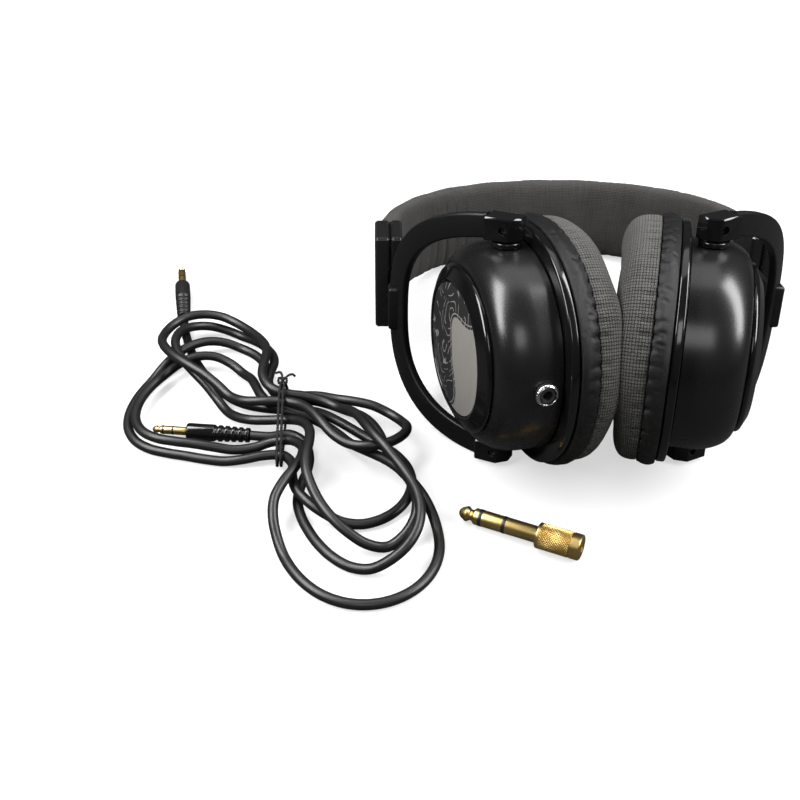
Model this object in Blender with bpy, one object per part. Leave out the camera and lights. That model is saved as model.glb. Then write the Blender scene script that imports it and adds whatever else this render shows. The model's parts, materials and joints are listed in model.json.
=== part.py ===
"""Closed-back wired studio headphones, lying on their side, with their detachable lead.

Every piece is modelled in the wearing frame: X across the head, Y up to the crown,
Z from the back of the head to the front, origin midway between the two cup pivots.
An empty then lays the headphones on the floor: two pivot blocks and the headband
touch it. The lead lies in world coordinates, on the same floor.
"""

import math

import bmesh
import bpy
import numpy as np
from mathutils import Matrix, Vector

MM = 0.001

# ---------------------------------------------------------------- clearances
GAP = 0.3 * MM              # between two pieces that seat on each other
PAD_CLEARANCE = 0.8 * MM    # between the two cushions where they nearly touch
PIN_CLEARANCE = 0.3 * MM    # round a pivot pin in its bush
SLIDE_CLEARANCE = 0.3 * MM  # round the stem in its guide

# ---------------------------------------------------------------- ear cup
CUP_TOE = math.radians(14.0)     # how far each cup turns its back to the chin
CUP_HALF_WIDTH = 39.2 * MM       # housing, front to back of the head
CUP_HALF_HEIGHT = 42.0 * MM      # housing, chin to crown
CUP_POWER = 2.15                 # how square the oval is, 2 is an ellipse
CUP_DEPTH = 15.0 * MM            # pivot plane to the housing's back
CUP_SHOULDER = 7.7 * MM          # how far the rounded shoulder draws in
CUP_WALL = 2.0 * MM
CUP_FRONT = 7.9 * MM             # pivot plane to the housing's open edge

FLANGE_OVERHANG = 6.0 * MM       # baffle's edge past the housing
FLANGE_THICKNESS = 3.5 * MM
FLANGE_EDGE = 0.7 * MM           # its edge radius
BAFFLE_SHEET = 2.4 * MM
SPIGOT_DEPTH = 2.2 * MM          # baffle's rim inside the housing
SPIGOT_WALL = 1.5 * MM

RING_INSET = 0.5 * MM            # back ring's edge inside the shoulder's end
RING_WIDTH = 6.2 * MM
RING_HEIGHT = 4.2 * MM
RING_EDGE = 1.0 * MM
PLATE_EDGE = 3.6 * MM
PLATE_CROWN = 2.2 * MM

FOAM_THICKNESS = 4.6 * MM
FOAM_INSET = 1.2 * MM

# ---------------------------------------------------------------- driver
DRIVER_RADIUS = 20.3 * MM
DRIVER_FLANGE = 3.1 * MM
DRIVER_FLANGE_THICKNESS = 1.5 * MM
DRIVER_WALL = 1.4 * MM
BASKET_DEPTH = 7.0 * MM
MAGNET_RADIUS = 11.5 * MM
MAGNET_HEIGHT = 5.0 * MM
POLE_RADIUS = 5.7 * MM
POLE_HEIGHT = 2.6 * MM
DIAPHRAGM_THICKNESS = 0.4 * MM
DIAPHRAGM_CROWN = 1.2 * MM

# ---------------------------------------------------------------- ear cushion
PAD_THICKNESS = 16.6 * MM
PAD_OVERHANG = 1.8 * MM          # cushion's side past the flange
PAD_OPENING_HALF_WIDTH = 22.5 * MM
PAD_OPENING_HALF_HEIGHT = 27.5 * MM
PAD_BAND_HEIGHT = 6.6 * MM       # leatherette side band
PAD_BAND_THICKNESS = 4.0 * MM
PAD_SEAM_DEPTH = 1.5 * MM        # how far the seam is drawn in
PAD_GATHER = 0.35 * MM           # height of the gathers along the seam
PAD_GATHERS = 9

# ---------------------------------------------------------------- pivots
BLOCK_HEIGHT = 8.8 * MM
BLOCK_INNER = 5.8 * MM           # pivot to the block's end at the cushion
BLOCK_OUTER = 7.5 * MM           # pivot to the block's end at the arm
BLOCK_FRONT = 5.0 * MM
BLOCK_BACK = 4.0 * MM
BLOCK_CHAMFER = 4.0 * MM
BLOCK_BEVEL = 0.5 * MM
PIN_RADIUS = 1.5 * MM
PIN_IN_BLOCK = 5.6 * MM
BUSH_RADIUS = 3.0 * MM
BUSH_COLLAR_RADIUS = 5.6 * MM
BUSH_COLLAR_HEIGHT = 1.8 * MM
BUSH_BELOW_WALL = 1.2 * MM
SET_SCREW_RADIUS = 1.35 * MM
SET_SCREW_RECESS = 1.4 * MM
HEX_RADIUS = 0.8 * MM
HEX_DEPTH = 0.9 * MM

# Plane of symmetry to the arm's centre: housing, bush collar, then half the block.
PIVOT_HEIGHT = CUP_HALF_WIDTH + GAP + BUSH_COLLAR_HEIGHT + GAP + BLOCK_HEIGHT / 2

# ---------------------------------------------------------------- yoke
YOKE_REACH = 52.0 * MM           # pivot to web, along the bent plate
YOKE_START = math.radians(62.0)  # heading at the pivot, from the crown outwards
YOKE_END = math.radians(34.0)    # heading at the web
YOKE_ARM_WIDTH = 9.2 * MM
YOKE_THICKNESS = 3.4 * MM
YOKE_CHAMFER = 0.7 * MM
YOKE_ARCH_POWER = 2.7            # how square the arch's corners are
TONGUE_LENGTH = 4.0 * MM
TONGUE_WIDTH = 6.0 * MM
TONGUE_THICKNESS = 2.4 * MM
BOSS_HEIGHT = 18.0 * MM
BOSS_LENGTH = 7.5 * MM
BOSS_THICKNESS = 5.6 * MM
STEM_WIDTH = 12.0 * MM
STEM_THICKNESS = 2.2 * MM
STEM_ENGAGED = 20.0 * MM         # stem inside the guide as it lies
SLIDE_SHOWN = 20.5 * MM          # stem between boss and end cap as it lies

# ---------------------------------------------------------------- headband
BAND_RISE = 68.6 * MM            # spring line of the arch to its crown, centre line
BAND_POWER = 2.05
BAND_WIDTH_TOP = 35.0 * MM
BAND_WIDTH_END = 38.6 * MM
BAND_THICKNESS_TOP = 14.0 * MM
BAND_THICKNESS_END = 11.6 * MM
BAND_SECTION_POWER = 3.0
COVER_WALL = 0.9 * MM
COVER_GATHER = 0.45 * MM
COVER_GATHERS = 8
COVER_START = 0.7 * MM           # end cap to the cover's slanted end
SPRING_OFFSET = 3.2 * MM         # centre line to the strip's inner face
SPRING_THICKNESS = 1.0 * MM
SPRING_WIDTH = 20.0 * MM
WIRE_RADIUS = 0.6 * MM
WIRE_HEIGHT = 12.6 * MM
WIRE_FOOT = 8.0 * MM             # its end, and then its straight run, in the end cap
FOAM_START = 20.0 * MM           # above the end cap
FOAM_CLEARANCE = 1.6 * MM        # to the cover, whose facets cut its corners

CAP_LENGTH = 24.0 * MM
CAP_WIDTH = 41.0 * MM
CAP_INNER_THICKNESS = 5.1 * MM
CAP_OUTER_THICKNESS = 6.4 * MM
CAP_WALL = 1.4 * MM
CAP_BEVEL = 1.0 * MM
GUIDE_WALL = 0.6 * MM
GUIDE_LENGTH = 32.0 * MM
GUIDE_RIM = 1.6 * MM
CAP_SCREW_RADIUS = 1.3 * MM
CAP_SCREW_HEAD = 2.6 * MM
CAP_SCREW_HEIGHT = 15.0 * MM
CAP_SCREW_FROM_FRONT = 14.0 * MM

# ---------------------------------------------------------------- jack
JACK_OFFSET = 1.0 * MM           # pivot plane to the jack's axis, towards the head
JACK_NECK_RADIUS = 2.9 * MM
JACK_BORE_RADIUS = 1.8 * MM
JACK_BODY_RADIUS = 4.0 * MM
JACK_BODY_LENGTH = 12.0 * MM
JACK_NUT_RADIUS = 4.3 * MM
JACK_NUT_HEIGHT = 2.6 * MM
JACK_SEAT = 0.7 * MM             # body to the housing's curved wall

# ---------------------------------------------------------------- lead
LEAD_RADIUS = 2.0 * MM
LEAD_GAP = 1.2 * MM              # air kept where the lead crosses over itself
LEAD_STEP = 2.0 * MM             # spacing at which its lie is worked out
LEAD_CRUSH = 6.4 * MM            # length over which its bends are rounded
LEAD_HUMP = 12.0                 # fall from a crossing, metres per square metre
LOBE_POINTS = 24
LOBE_LENGTH = 190.0 * MM         # lead in a usual lobe, for the count of points
WAIST = (-124.0 * MM, -48.0 * MM)
WAIST_STEP = 6.0 * MM            # lead to lead, side by side under the tie
# The lead crosses the waist in these places, in half steps from its middle.
WAIST_PLACES = (3, -5, 5, -3, 1, 0, 4, 2, 3, -1)
# Between two crossings it makes a lobe: side, heading to the front, length, width.
LOBES = (
    (1, 42, 66 * MM, 46 * MM),
    (-1, -29, 66 * MM, 80 * MM),
    (1, 64, 100 * MM, 64 * MM),
    (-1, -26, 62 * MM, 72 * MM),
    (1, 54, 80 * MM, 48 * MM),
    (-1, -50, 76 * MM, 44 * MM),
    (1, 28, 52 * MM, 40 * MM),
    (-1, -46, 80 * MM, 54 * MM),
    (1, 60, 88 * MM, 48 * MM),
)
TIE_THICKNESS = 1.2 * MM
TIE_WIDTH = 3.0 * MM
TIE_SIDES = 28

PLUG_RADIUS = 3.5 * MM
PLUG_BARREL = 12.0 * MM
RELIEF_LENGTH = 14.0 * MM
RELIEF_RADIUS = 2.5 * MM         # at the lead
RELIEF_RIBS = 5
RIB_HEIGHT = 0.5 * MM
CONTACT_RADIUS = 1.75 * MM
CONTACT_LENGTH = 14.0 * MM
# Where the lead enters each plug, and the plug's heading in degrees.
PLUG_A = (-136.5 * MM, -53.5 * MM, 174.0)
PLUG_B = (-174.0 * MM, 26.0 * MM, 99.0)

ADAPTER_TIP = (-54.0 * MM, -96.0 * MM)
ADAPTER_HEADING = -26.0          # degrees, from its tip to its socket
ADAPTER_RADIUS = 3.175 * MM
ADAPTER_SHAFT = 31.0 * MM
ADAPTER_SLEEVE = 17.0 * MM
ADAPTER_SLEEVE_RADIUS = 4.9 * MM
ADAPTER_BORE_DEPTH = 15.0 * MM

# ---------------------------------------------------------------- counts
CUP_SIDES = 28
PAD_SIDES = 36
DRIVER_SIDES = 16
PIN_SIDES = 10
TURNED_SIDES = 12
COVER_SIDES = 10

# ---------------------------------------------------------------- worked out
FLANGE_HALF_WIDTH = CUP_HALF_WIDTH + FLANGE_OVERHANG
FLANGE_HALF_HEIGHT = CUP_HALF_HEIGHT + FLANGE_OVERHANG - 0.5 * MM
FLANGE_BACK = -CUP_FRONT - GAP
FLANGE_FRONT = FLANGE_BACK - FLANGE_THICKNESS
PAD_BACK = FLANGE_FRONT - GAP
PAD_FACE = PAD_BACK - PAD_THICKNESS
BLOCK_BOTTOM = PIVOT_HEIGHT - BLOCK_HEIGHT / 2
BLOCK_TOP = PIVOT_HEIGHT + BLOCK_HEIGHT / 2
YOKE_BEND = (YOKE_END - YOKE_START) / YOKE_REACH

FINISHES = {
    "satin_black": ((0.012, 0.012, 0.013), 0.38, 0.0),
    "gloss_black": ((0.006, 0.006, 0.007), 0.12, 0.0),
    "black_anodised": ((0.020, 0.020, 0.022), 0.42, 0.9),
    "leatherette": ((0.011, 0.011, 0.012), 0.48, 0.0),
    "pad_fabric": ((0.085, 0.080, 0.075), 0.95, 0.0),
    "band_fabric": ((0.062, 0.058, 0.054), 0.95, 0.0),
    "silver": ((0.36, 0.34, 0.31), 0.38, 1.0),
    "chrome": ((0.62, 0.62, 0.63), 0.12, 1.0),
    "spring_steel": ((0.32, 0.33, 0.35), 0.35, 1.0),
    "zinc_screw": ((0.10, 0.10, 0.11), 0.35, 1.0),
    "foam": ((0.030, 0.030, 0.032), 0.95, 0.0),
    "driver_plastic": ((0.020, 0.020, 0.020), 0.55, 0.0),
    "magnet": ((0.28, 0.28, 0.30), 0.30, 1.0),
    "film": ((0.55, 0.50, 0.36), 0.30, 0.0),
    "gold": ((0.66, 0.46, 0.16), 0.24, 1.0),
    "cable_rubber": ((0.014, 0.014, 0.015), 0.50, 0.0),
}


# ================================================================ helpers
def clear_scene():
    """Remove whatever the file opened with."""
    for thing in list(bpy.data.objects):
        bpy.data.objects.remove(thing, do_unlink=True)


def finish(name):
    """Principled material of one finish, made once."""
    material = bpy.data.materials.get(name)
    if material is None:
        colour, roughness, metallic = FINISHES[name]
        material = bpy.data.materials.new(name)
        material.use_nodes = True
        shader = material.node_tree.nodes["Principled BSDF"]
        shader.inputs["Base Color"].default_value = (*colour, 1.0)
        shader.inputs["Roughness"].default_value = roughness
        shader.inputs["Metallic"].default_value = metallic
    return material


def empty(name, parent=None, location=(0, 0, 0), turn_z=0.0):
    """A frame that pieces are parented to."""
    frame = bpy.data.objects.new(name, None)
    bpy.context.collection.objects.link(frame)
    frame.parent = parent
    frame.location = location
    frame.rotation_euler = (0, 0, turn_z)
    return frame


def add_piece(name, bm, parent, look, crease=35.0):
    """Turn a bmesh into a named piece with its finish."""
    bmesh.ops.recalc_face_normals(bm, faces=bm.faces)
    mesh = bpy.data.meshes.new(name)
    bm.to_mesh(mesh)
    bm.free()
    mesh.shade_smooth()
    mesh.set_sharp_from_angle(angle=math.radians(crease))
    piece = bpy.data.objects.new(name, mesh)
    bpy.context.collection.objects.link(piece)
    piece.parent = parent
    if look:
        mesh.materials.append(finish(look))
    return piece


def loft(rings, closed=False):
    """Skin a row of rings of equal count; cap both ends, or join the last to the first."""
    bm = bmesh.new()
    rows = [[bm.verts.new(point) for point in ring] for ring in rings]
    pairs = list(zip(rows, rows[1:]))
    if closed:
        pairs.append((rows[-1], rows[0]))
    for near, far in pairs:
        for i in range(len(near)):
            j = (i + 1) % len(near)
            bm.faces.new((near[i], near[j], far[j], far[i]))
    if not closed:
        bm.faces.new(rows[0])
        bm.faces.new(rows[-1])
    return bm


def oval(out, half_height, half_width, sides, power=CUP_POWER):
    """Superellipse ring in the cup's frame, facing outwards at the distance out."""
    points = []
    for step in range(sides):
        angle = 2 * math.pi * step / sides
        c, s = math.cos(angle), math.sin(angle)
        y = half_height * math.copysign(abs(c) ** (2 / power), c)
        z = half_width * math.copysign(abs(s) ** (2 / power), s)
        points.append(Vector((out, y, z)))
    return points


def turned(profile, axis, sides, closed=True):
    """Turn a profile of (along, radius) pairs about the axis X, Y or Z."""
    order = {"X": (0, 1, 2), "Y": (1, 2, 0), "Z": (2, 0, 1)}[axis]
    rings = []
    for along, radius in profile:
        ring = []
        for step in range(sides):
            angle = 2 * math.pi * step / sides
            point = [0.0, 0.0, 0.0]
            point[order[0]] = along
            point[order[1]] = radius * math.cos(angle)
            point[order[2]] = radius * math.sin(angle)
            ring.append(point)
        rings.append(ring)
    return loft(rings, closed)


def box(low, high, bevel=0.0):
    """Box between two corners, with its edges bevelled once."""
    bm = bmesh.new()
    bmesh.ops.create_cube(bm, size=1.0)
    size = [h - l for l, h in zip(low, high)]
    middle = [(h + l) / 2 for l, h in zip(low, high)]
    bmesh.ops.scale(bm, vec=size, verts=bm.verts)
    bmesh.ops.translate(bm, vec=middle, verts=bm.verts)
    if bevel:
        bmesh.ops.bevel(bm, geom=bm.edges, offset=bevel, segments=1, affect="EDGES")
    return bm


def modify(piece, tool, operation):
    """Cut the tool from the piece, or join it on, with an exact Boolean."""
    tool.hide_render = True
    tool.display_type = "WIRE"
    boolean = piece.modifiers.new(tool.name, "BOOLEAN")
    boolean.operation = operation
    boolean.solver = "EXACT"
    boolean.object = tool


def cut(piece, bm, label, matrix=None):
    """Cut a bmesh shape from the piece; the shape is in the piece's own frame."""
    tool = add_piece(f"{piece.name}.{label}", bm, piece, None)
    if matrix is not None:
        tool.matrix_local = matrix
    modify(piece, tool, "DIFFERENCE")


def join(piece, bm, label):
    """Join a bmesh shape to the piece."""
    modify(piece, add_piece(f"{piece.name}.{label}", bm, piece, None), "UNION")


def side_name(side):
    return "left" if side < 0 else "right"


# ================================================================ ear cushion
def pad_profile():
    """Section of the fabric cushion: (out, reach) pairs, reach from the flange's oval.

    The crown is a half ellipse from the seam over to the opening; behind the seam the
    section steps in to make room for the side band.
    """
    seam = PAD_BACK - PAD_BAND_HEIGHT - GAP
    edge = PAD_OVERHANG - PAD_SEAM_DEPTH
    opening = PAD_OPENING_HALF_WIDTH - FLANGE_HALF_WIDTH
    middle = (edge + opening) / 2
    half = (edge - opening) / 2
    points = []
    steps = 6
    for step in range(steps + 1):
        angle = math.pi * step / steps
        rise = math.sin(angle) ** 0.75
        swell = PAD_SEAM_DEPTH * math.sin(angle) * max(math.cos(angle), 0.0) * 1.6
        points.append((seam + (PAD_FACE - seam) * rise, middle + half * math.cos(angle) + swell))
    inner_back = opening + 2.0 * MM
    band_side = PAD_OVERHANG - PAD_BAND_THICKNESS - GAP
    points.append(((seam + PAD_BACK) / 2, opening - 0.4 * MM))
    points.append((PAD_BACK, inner_back))
    points.append((PAD_BACK, band_side))
    points.append((seam, band_side))
    return points


def pad_rings(profile, waves):
    """Rings of a cushion piece; its gathers are waves that fade away from the seam."""
    seam = PAD_BACK - PAD_BAND_HEIGHT
    rings = []
    stretch = PAD_OPENING_HALF_HEIGHT - PAD_OPENING_HALF_WIDTH
    full = FLANGE_HALF_HEIGHT - FLANGE_HALF_WIDTH
    opening = PAD_OPENING_HALF_WIDTH - FLANGE_HALF_WIDTH
    for out, reach in profile:
        share = min(max(reach / opening, 0.0), 1.0)
        half_width = FLANGE_HALF_WIDTH + reach
        half_height = half_width + full + (stretch - full) * share
        ring = oval(out, half_height, half_width, PAD_SIDES)
        fade = max(1.0 - abs(out - seam) / (4.0 * MM), 0.0) if reach > -2.0 * MM else 0.0
        for step, point in enumerate(ring):
            wave = waves * fade * math.cos(2 * math.pi * PAD_GATHERS * step / PAD_SIDES)
            point.y *= 1.0 + wave / half_height
            point.z *= 1.0 + wave / half_width
        rings.append(ring)
    return rings


def band_profile():
    """Section of the leatherette band round the cushion's side."""
    seam = PAD_BACK - PAD_BAND_HEIGHT
    inner = PAD_OVERHANG - PAD_BAND_THICKNESS
    points = [(PAD_BACK, inner)]
    steps = 3
    for step in range(steps + 1):
        share = step / steps
        swell = math.sin(math.pi * (0.12 + 0.76 * share))
        reach = PAD_OVERHANG - PAD_SEAM_DEPTH * (1.0 - swell)
        points.append((PAD_BACK + (seam - PAD_BACK) * share, reach))
    points.append((seam, inner))
    return points


def pad_reach():
    """How far the cushions reach from the pivot axis towards each other."""
    lean, turn = math.cos(CUP_TOE), math.sin(CUP_TOE)
    points = [point for ring in pad_rings(pad_profile(), PAD_GATHER) for point in ring]
    return max(-point.x * lean + abs(point.y) * turn for point in points)


PIVOT_SPREAD = pad_reach() + PAD_CLEARANCE / 2   # head's middle to the pivot axis


# ================================================================ ear cup
def shoulder_rings(offset, steps):
    """Rings of the housing's skin, moved in by the offset, from the open edge back."""
    rings = [(-CUP_FRONT, 0.0)]
    last = math.radians(82.0)
    for step in range(steps + 1):
        angle = last * step / steps
        out = (CUP_DEPTH - offset) * math.sin(angle) / math.sin(last)
        rings.append((out, CUP_SHOULDER * (1 - math.cos(angle)) / (1 - math.cos(last))))
    return [oval(out, CUP_HALF_HEIGHT - offset - inset, CUP_HALF_WIDTH - offset - inset, CUP_SIDES)
            for out, inset in rings]


def make_housing(side, frame):
    """Domed cup, open towards the baffle, with a flat back for the ring and plate."""
    outer = shoulder_rings(0.0, 6)
    inner = shoulder_rings(CUP_WALL, 3)
    bm = loft(list(reversed(outer)) + inner)
    housing = add_piece(f"cup_housing_{side_name(side)}", bm, frame, "satin_black")
    hole = BUSH_RADIUS + GAP
    for end in (-1, 1):
        low = end * (CUP_HALF_WIDTH - 4 * CUP_WALL)
        high = end * (CUP_HALF_WIDTH + CUP_WALL)
        cut(housing, turned([(low, hole), (high, hole)], "Z", PIN_SIDES, False), f"bush{end}")
    if side < 0:
        hole = JACK_NECK_RADIUS + GAP
        ends = [(CUP_HALF_HEIGHT - 3 * CUP_WALL, hole), (CUP_HALF_HEIGHT + CUP_WALL, hole)]
        cut(housing, turned(ends, "Y", PIN_SIDES, False), "jack",
            Matrix.Translation((-JACK_OFFSET, 0, 0)))
    return housing


def make_back(side, frame):
    """Glossy ring and domed plate on the housing's flat back."""
    half_height = CUP_HALF_HEIGHT - CUP_SHOULDER - RING_INSET
    half_width = CUP_HALF_WIDTH - CUP_SHOULDER - RING_INSET
    seat = CUP_DEPTH + GAP
    section = [
        (seat, 0.0),
        (seat + RING_EDGE, 0.0),
        (seat + 1.9 * RING_EDGE, RING_EDGE * 0.6),
        (seat + RING_HEIGHT - RING_EDGE * 0.5, RING_WIDTH - 2 * RING_EDGE),
        (seat + RING_HEIGHT, RING_WIDTH - RING_EDGE),
        (seat + RING_HEIGHT - RING_EDGE * 0.4, RING_WIDTH),
        (seat, RING_WIDTH),
    ]
    rings = [oval(out, half_height - inset, half_width - inset, CUP_SIDES) for out, inset in section]
    add_piece(f"back_ring_{side_name(side)}", loft(rings, True), frame, "gloss_black")

    tall = half_height - RING_WIDTH - GAP
    wide = half_width - RING_WIDTH - GAP
    rings = [oval(seat, tall, wide, CUP_SIDES)]
    for share in (1.0, 0.8, 0.5, 0.2):
        crown = PLATE_CROWN * (1 - share ** 2)
        rings.append(oval(seat + PLATE_EDGE + crown, tall * share, wide * share, CUP_SIDES))
    add_piece(f"back_plate_{side_name(side)}", loft(rings), frame, "silver")


def make_baffle(side, frame):
    """Flange between housing and cushion, with the driver's hole and a locating rim."""
    rim = CUP_WALL + GAP
    hole = DRIVER_RADIUS + GAP
    sheet = FLANGE_FRONT + BAFFLE_SHEET

    def around(out, inset):
        return oval(out, FLANGE_HALF_HEIGHT - inset, FLANGE_HALF_WIDTH - inset, CUP_SIDES)

    def within(out, inset):
        return oval(out, CUP_HALF_HEIGHT - inset, CUP_HALF_WIDTH - inset, CUP_SIDES)

    rings = [
        oval(FLANGE_FRONT, hole, hole, CUP_SIDES, 2.0),
        around(FLANGE_FRONT, FLANGE_EDGE),
        around(FLANGE_FRONT + FLANGE_EDGE, 0.0),
        around(FLANGE_BACK - FLANGE_EDGE, 0.0),
        around(FLANGE_BACK, FLANGE_EDGE),
        within(FLANGE_BACK, rim),
        within(FLANGE_BACK + SPIGOT_DEPTH, rim),
        within(FLANGE_BACK + SPIGOT_DEPTH, rim + SPIGOT_WALL),
        within(sheet, rim + SPIGOT_WALL),
        oval(sheet, hole, hole, CUP_SIDES, 2.0),
    ]
    add_piece(f"baffle_{side_name(side)}", loft(rings, True), frame, "gloss_black")


def make_driver(side, frame):
    """Moving-coil driver: basket, magnet with its pole, and diaphragm."""
    name = side_name(side)
    seat = FLANGE_FRONT + BAFFLE_SHEET + GAP
    back = seat + BASKET_DEPTH
    inner = DRIVER_RADIUS - DRIVER_WALL
    neck = POLE_RADIUS + GAP
    basket = [
        (FLANGE_FRONT + GAP, DRIVER_RADIUS),
        (seat, DRIVER_RADIUS),
        (seat, DRIVER_RADIUS + DRIVER_FLANGE),
        (seat + DRIVER_FLANGE_THICKNESS, DRIVER_RADIUS + DRIVER_FLANGE),
        (seat + DRIVER_FLANGE_THICKNESS, DRIVER_RADIUS),
        (back, MAGNET_RADIUS + DRIVER_WALL),
        (back, neck),
        (back - DRIVER_WALL, neck),
        (back - DRIVER_WALL, MAGNET_RADIUS),
        (seat, inner),
        (FLANGE_FRONT + GAP, inner),
    ]
    add_piece(f"driver_frame_{name}", turned(basket, "X", DRIVER_SIDES), frame, "driver_plastic")

    pot = back + GAP
    magnet = [
        (back - DRIVER_WALL - POLE_HEIGHT, POLE_RADIUS),
        (pot, POLE_RADIUS),
        (pot, MAGNET_RADIUS),
        (pot + MAGNET_HEIGHT, MAGNET_RADIUS),
    ]
    add_piece(f"driver_magnet_{name}", turned(magnet, "X", DRIVER_SIDES, False), frame, "magnet")

    rim = inner - GAP
    front = seat - 0.8 * MM
    film = [(rim, 0.0), (rim * 0.86, DIAPHRAGM_CROWN), (rim * 0.70, 0.0),
            (rim * 0.30, DIAPHRAGM_CROWN)]
    faces = [(front - bow, radius) for radius, bow in film]
    backs = [(out + DIAPHRAGM_THICKNESS, radius) for out, radius in reversed(faces)]
    shape = turned(backs + faces, "X", DRIVER_SIDES, False)
    add_piece(f"driver_diaphragm_{name}", shape, frame, "film")


def make_foam(side, frame):
    """Damping felt against the housing's back wall."""
    back = CUP_DEPTH - CUP_WALL - GAP
    inset = CUP_WALL + CUP_SHOULDER + FOAM_INSET
    rings = [oval(out, CUP_HALF_HEIGHT - inset, CUP_HALF_WIDTH - inset, CUP_SIDES)
             for out in (back - FOAM_THICKNESS, back)]
    add_piece(f"damping_foam_{side_name(side)}", loft(rings), frame, "foam")


def make_pad(side, frame):
    """Ear cushion: fabric ring with its crown, and the leatherette band round its side."""
    name = side_name(side)
    add_piece(f"ear_pad_{name}", loft(pad_rings(pad_profile(), PAD_GATHER), True), frame,
              "pad_fabric", 60.0)
    add_piece(f"ear_pad_band_{name}", loft(pad_rings(band_profile(), -PAD_GATHER), True), frame,
              "leatherette", 60.0)


def make_bushes(side, frame):
    """Collared bushes in the housing that turn on the pivot pins."""
    bore = PIN_RADIUS + PIN_CLEARANCE
    bottom = CUP_HALF_WIDTH - CUP_WALL - BUSH_BELOW_WALL
    collar = CUP_HALF_WIDTH + GAP
    top = BLOCK_BOTTOM - GAP
    section = [(bottom, bore), (bottom, BUSH_RADIUS), (collar, BUSH_RADIUS),
               (collar, BUSH_COLLAR_RADIUS), (top, BUSH_COLLAR_RADIUS), (top, bore)]
    for end, label in ((1, "top"), (-1, "bottom")):
        profile = [(end * along, radius) for along, radius in section]
        add_piece(f"pivot_bush_{label}_{side_name(side)}", turned(profile, "Z", TURNED_SIDES),
                  frame, "gloss_black")


def make_jack(frame):
    """Socket for the lead, through the left housing's chin side, with its round nut."""
    skin = CUP_HALF_HEIGHT
    end = skin + GAP + JACK_NUT_HEIGHT - 0.4 * MM
    shoulder = skin - CUP_WALL - JACK_SEAT
    back = shoulder - JACK_BODY_LENGTH
    section = [
        (end, JACK_BORE_RADIUS),
        (end, JACK_NECK_RADIUS),
        (shoulder, JACK_NECK_RADIUS),
        (shoulder, JACK_BODY_RADIUS),
        (back, JACK_BODY_RADIUS),
        (back, 0.3 * JACK_BORE_RADIUS),
        (back + 2 * CUP_WALL, 0.3 * JACK_BORE_RADIUS),
        (back + 2 * CUP_WALL, JACK_BORE_RADIUS),
    ]
    socket = add_piece("jack_socket", turned(section, "Y", TURNED_SIDES), frame, "driver_plastic")
    socket.location.x = -JACK_OFFSET

    seat = skin + GAP
    top = seat + JACK_NUT_HEIGHT
    bore = JACK_NECK_RADIUS + GAP
    section = [(seat, bore), (seat, JACK_NUT_RADIUS), (top - 0.8 * MM, JACK_NUT_RADIUS),
               (top, JACK_NUT_RADIUS - 0.8 * MM), (top, bore)]
    nut = add_piece("jack_nut", turned(section, "Y", TURNED_SIDES), frame, "chrome")
    nut.location.x = -JACK_OFFSET


def make_cup(side, root):
    """One ear cup on its pivot axis; the left one carries the jack."""
    turn = -CUP_TOE if side > 0 else math.pi + CUP_TOE
    frame = empty(f"cup_{side_name(side)}_axis", root, (side * PIVOT_SPREAD, 0, 0), turn)
    make_housing(side, frame)
    make_back(side, frame)
    make_baffle(side, frame)
    make_driver(side, frame)
    make_foam(side, frame)
    make_pad(side, frame)
    make_bushes(side, frame)
    if side < 0:
        make_jack(frame)


# ================================================================ yoke
def plan(run):
    """Place and heading of the yoke's bent plate, seen along the pivot axis."""
    heading = YOKE_START + YOKE_BEND * run
    x = (math.cos(YOKE_START) - math.cos(heading)) / YOKE_BEND
    y = (math.sin(heading) - math.sin(YOKE_START)) / YOKE_BEND
    return PIVOT_SPREAD + x, y, heading


def arm_ring(side, run, height, slope, half_width, half_thickness):
    """Chamfered section of the arm at a run along the plate and a height."""
    x, y, heading = plan(run)
    along = Vector((math.sin(heading), math.cos(heading), 0))
    normal = Vector((math.cos(heading), -math.sin(heading), 0))
    across = Vector((0, 0, 1)) * math.cos(slope) - along * math.sin(slope)
    middle = Vector((x, y, height))
    c = YOKE_CHAMFER
    corners = [(half_width, c), (half_width - c, 0), (c - half_width, 0), (-half_width, c)]
    section = [(w, half_thickness - t) for w, t in corners]
    section += [(w, t - half_thickness) for w, t in reversed(corners)]
    points = [middle + across * w + normal * t for w, t in section]
    return [Vector((side * p.x, p.y, p.z)) for p in points]


def arch(angle):
    """Run and height of the arm's centre line; the arch is half a superellipse."""
    run = YOKE_REACH * math.sin(angle)
    bulge = abs(math.cos(angle)) ** (2 / YOKE_ARCH_POWER)
    height = PIVOT_HEIGHT * math.copysign(bulge, math.cos(angle))
    return run, height


def yoke_web():
    """Where the middle of the yoke's web is, seen along the pivot axis."""
    x, y, _ = plan(YOKE_REACH)
    return x, y


STEM_X = yoke_web()[0] + 1.6 * MM
BOSS_END = yoke_web()[1] + BOSS_LENGTH / 2 + 1.6 * MM
CAP_FRONT = BOSS_END + SLIDE_SHOWN
STEM_END = CAP_FRONT + CAP_WALL + STEM_ENGAGED
GUIDE_INNER = STEM_X - STEM_THICKNESS / 2 - SLIDE_CLEARANCE - GUIDE_WALL
CAP_INNER_FACE = GUIDE_INNER - GAP - CAP_WALL
CAP_SPLIT = CAP_INNER_FACE + CAP_INNER_THICKNESS
CAP_OUTER_FACE = CAP_SPLIT + GAP + CAP_OUTER_THICKNESS
BAND_HALF_SPAN = (CAP_INNER_FACE + CAP_OUTER_FACE) / 2
BAND_SPRING_LINE = CAP_FRONT + CAP_LENGTH - 6.0 * MM


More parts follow.
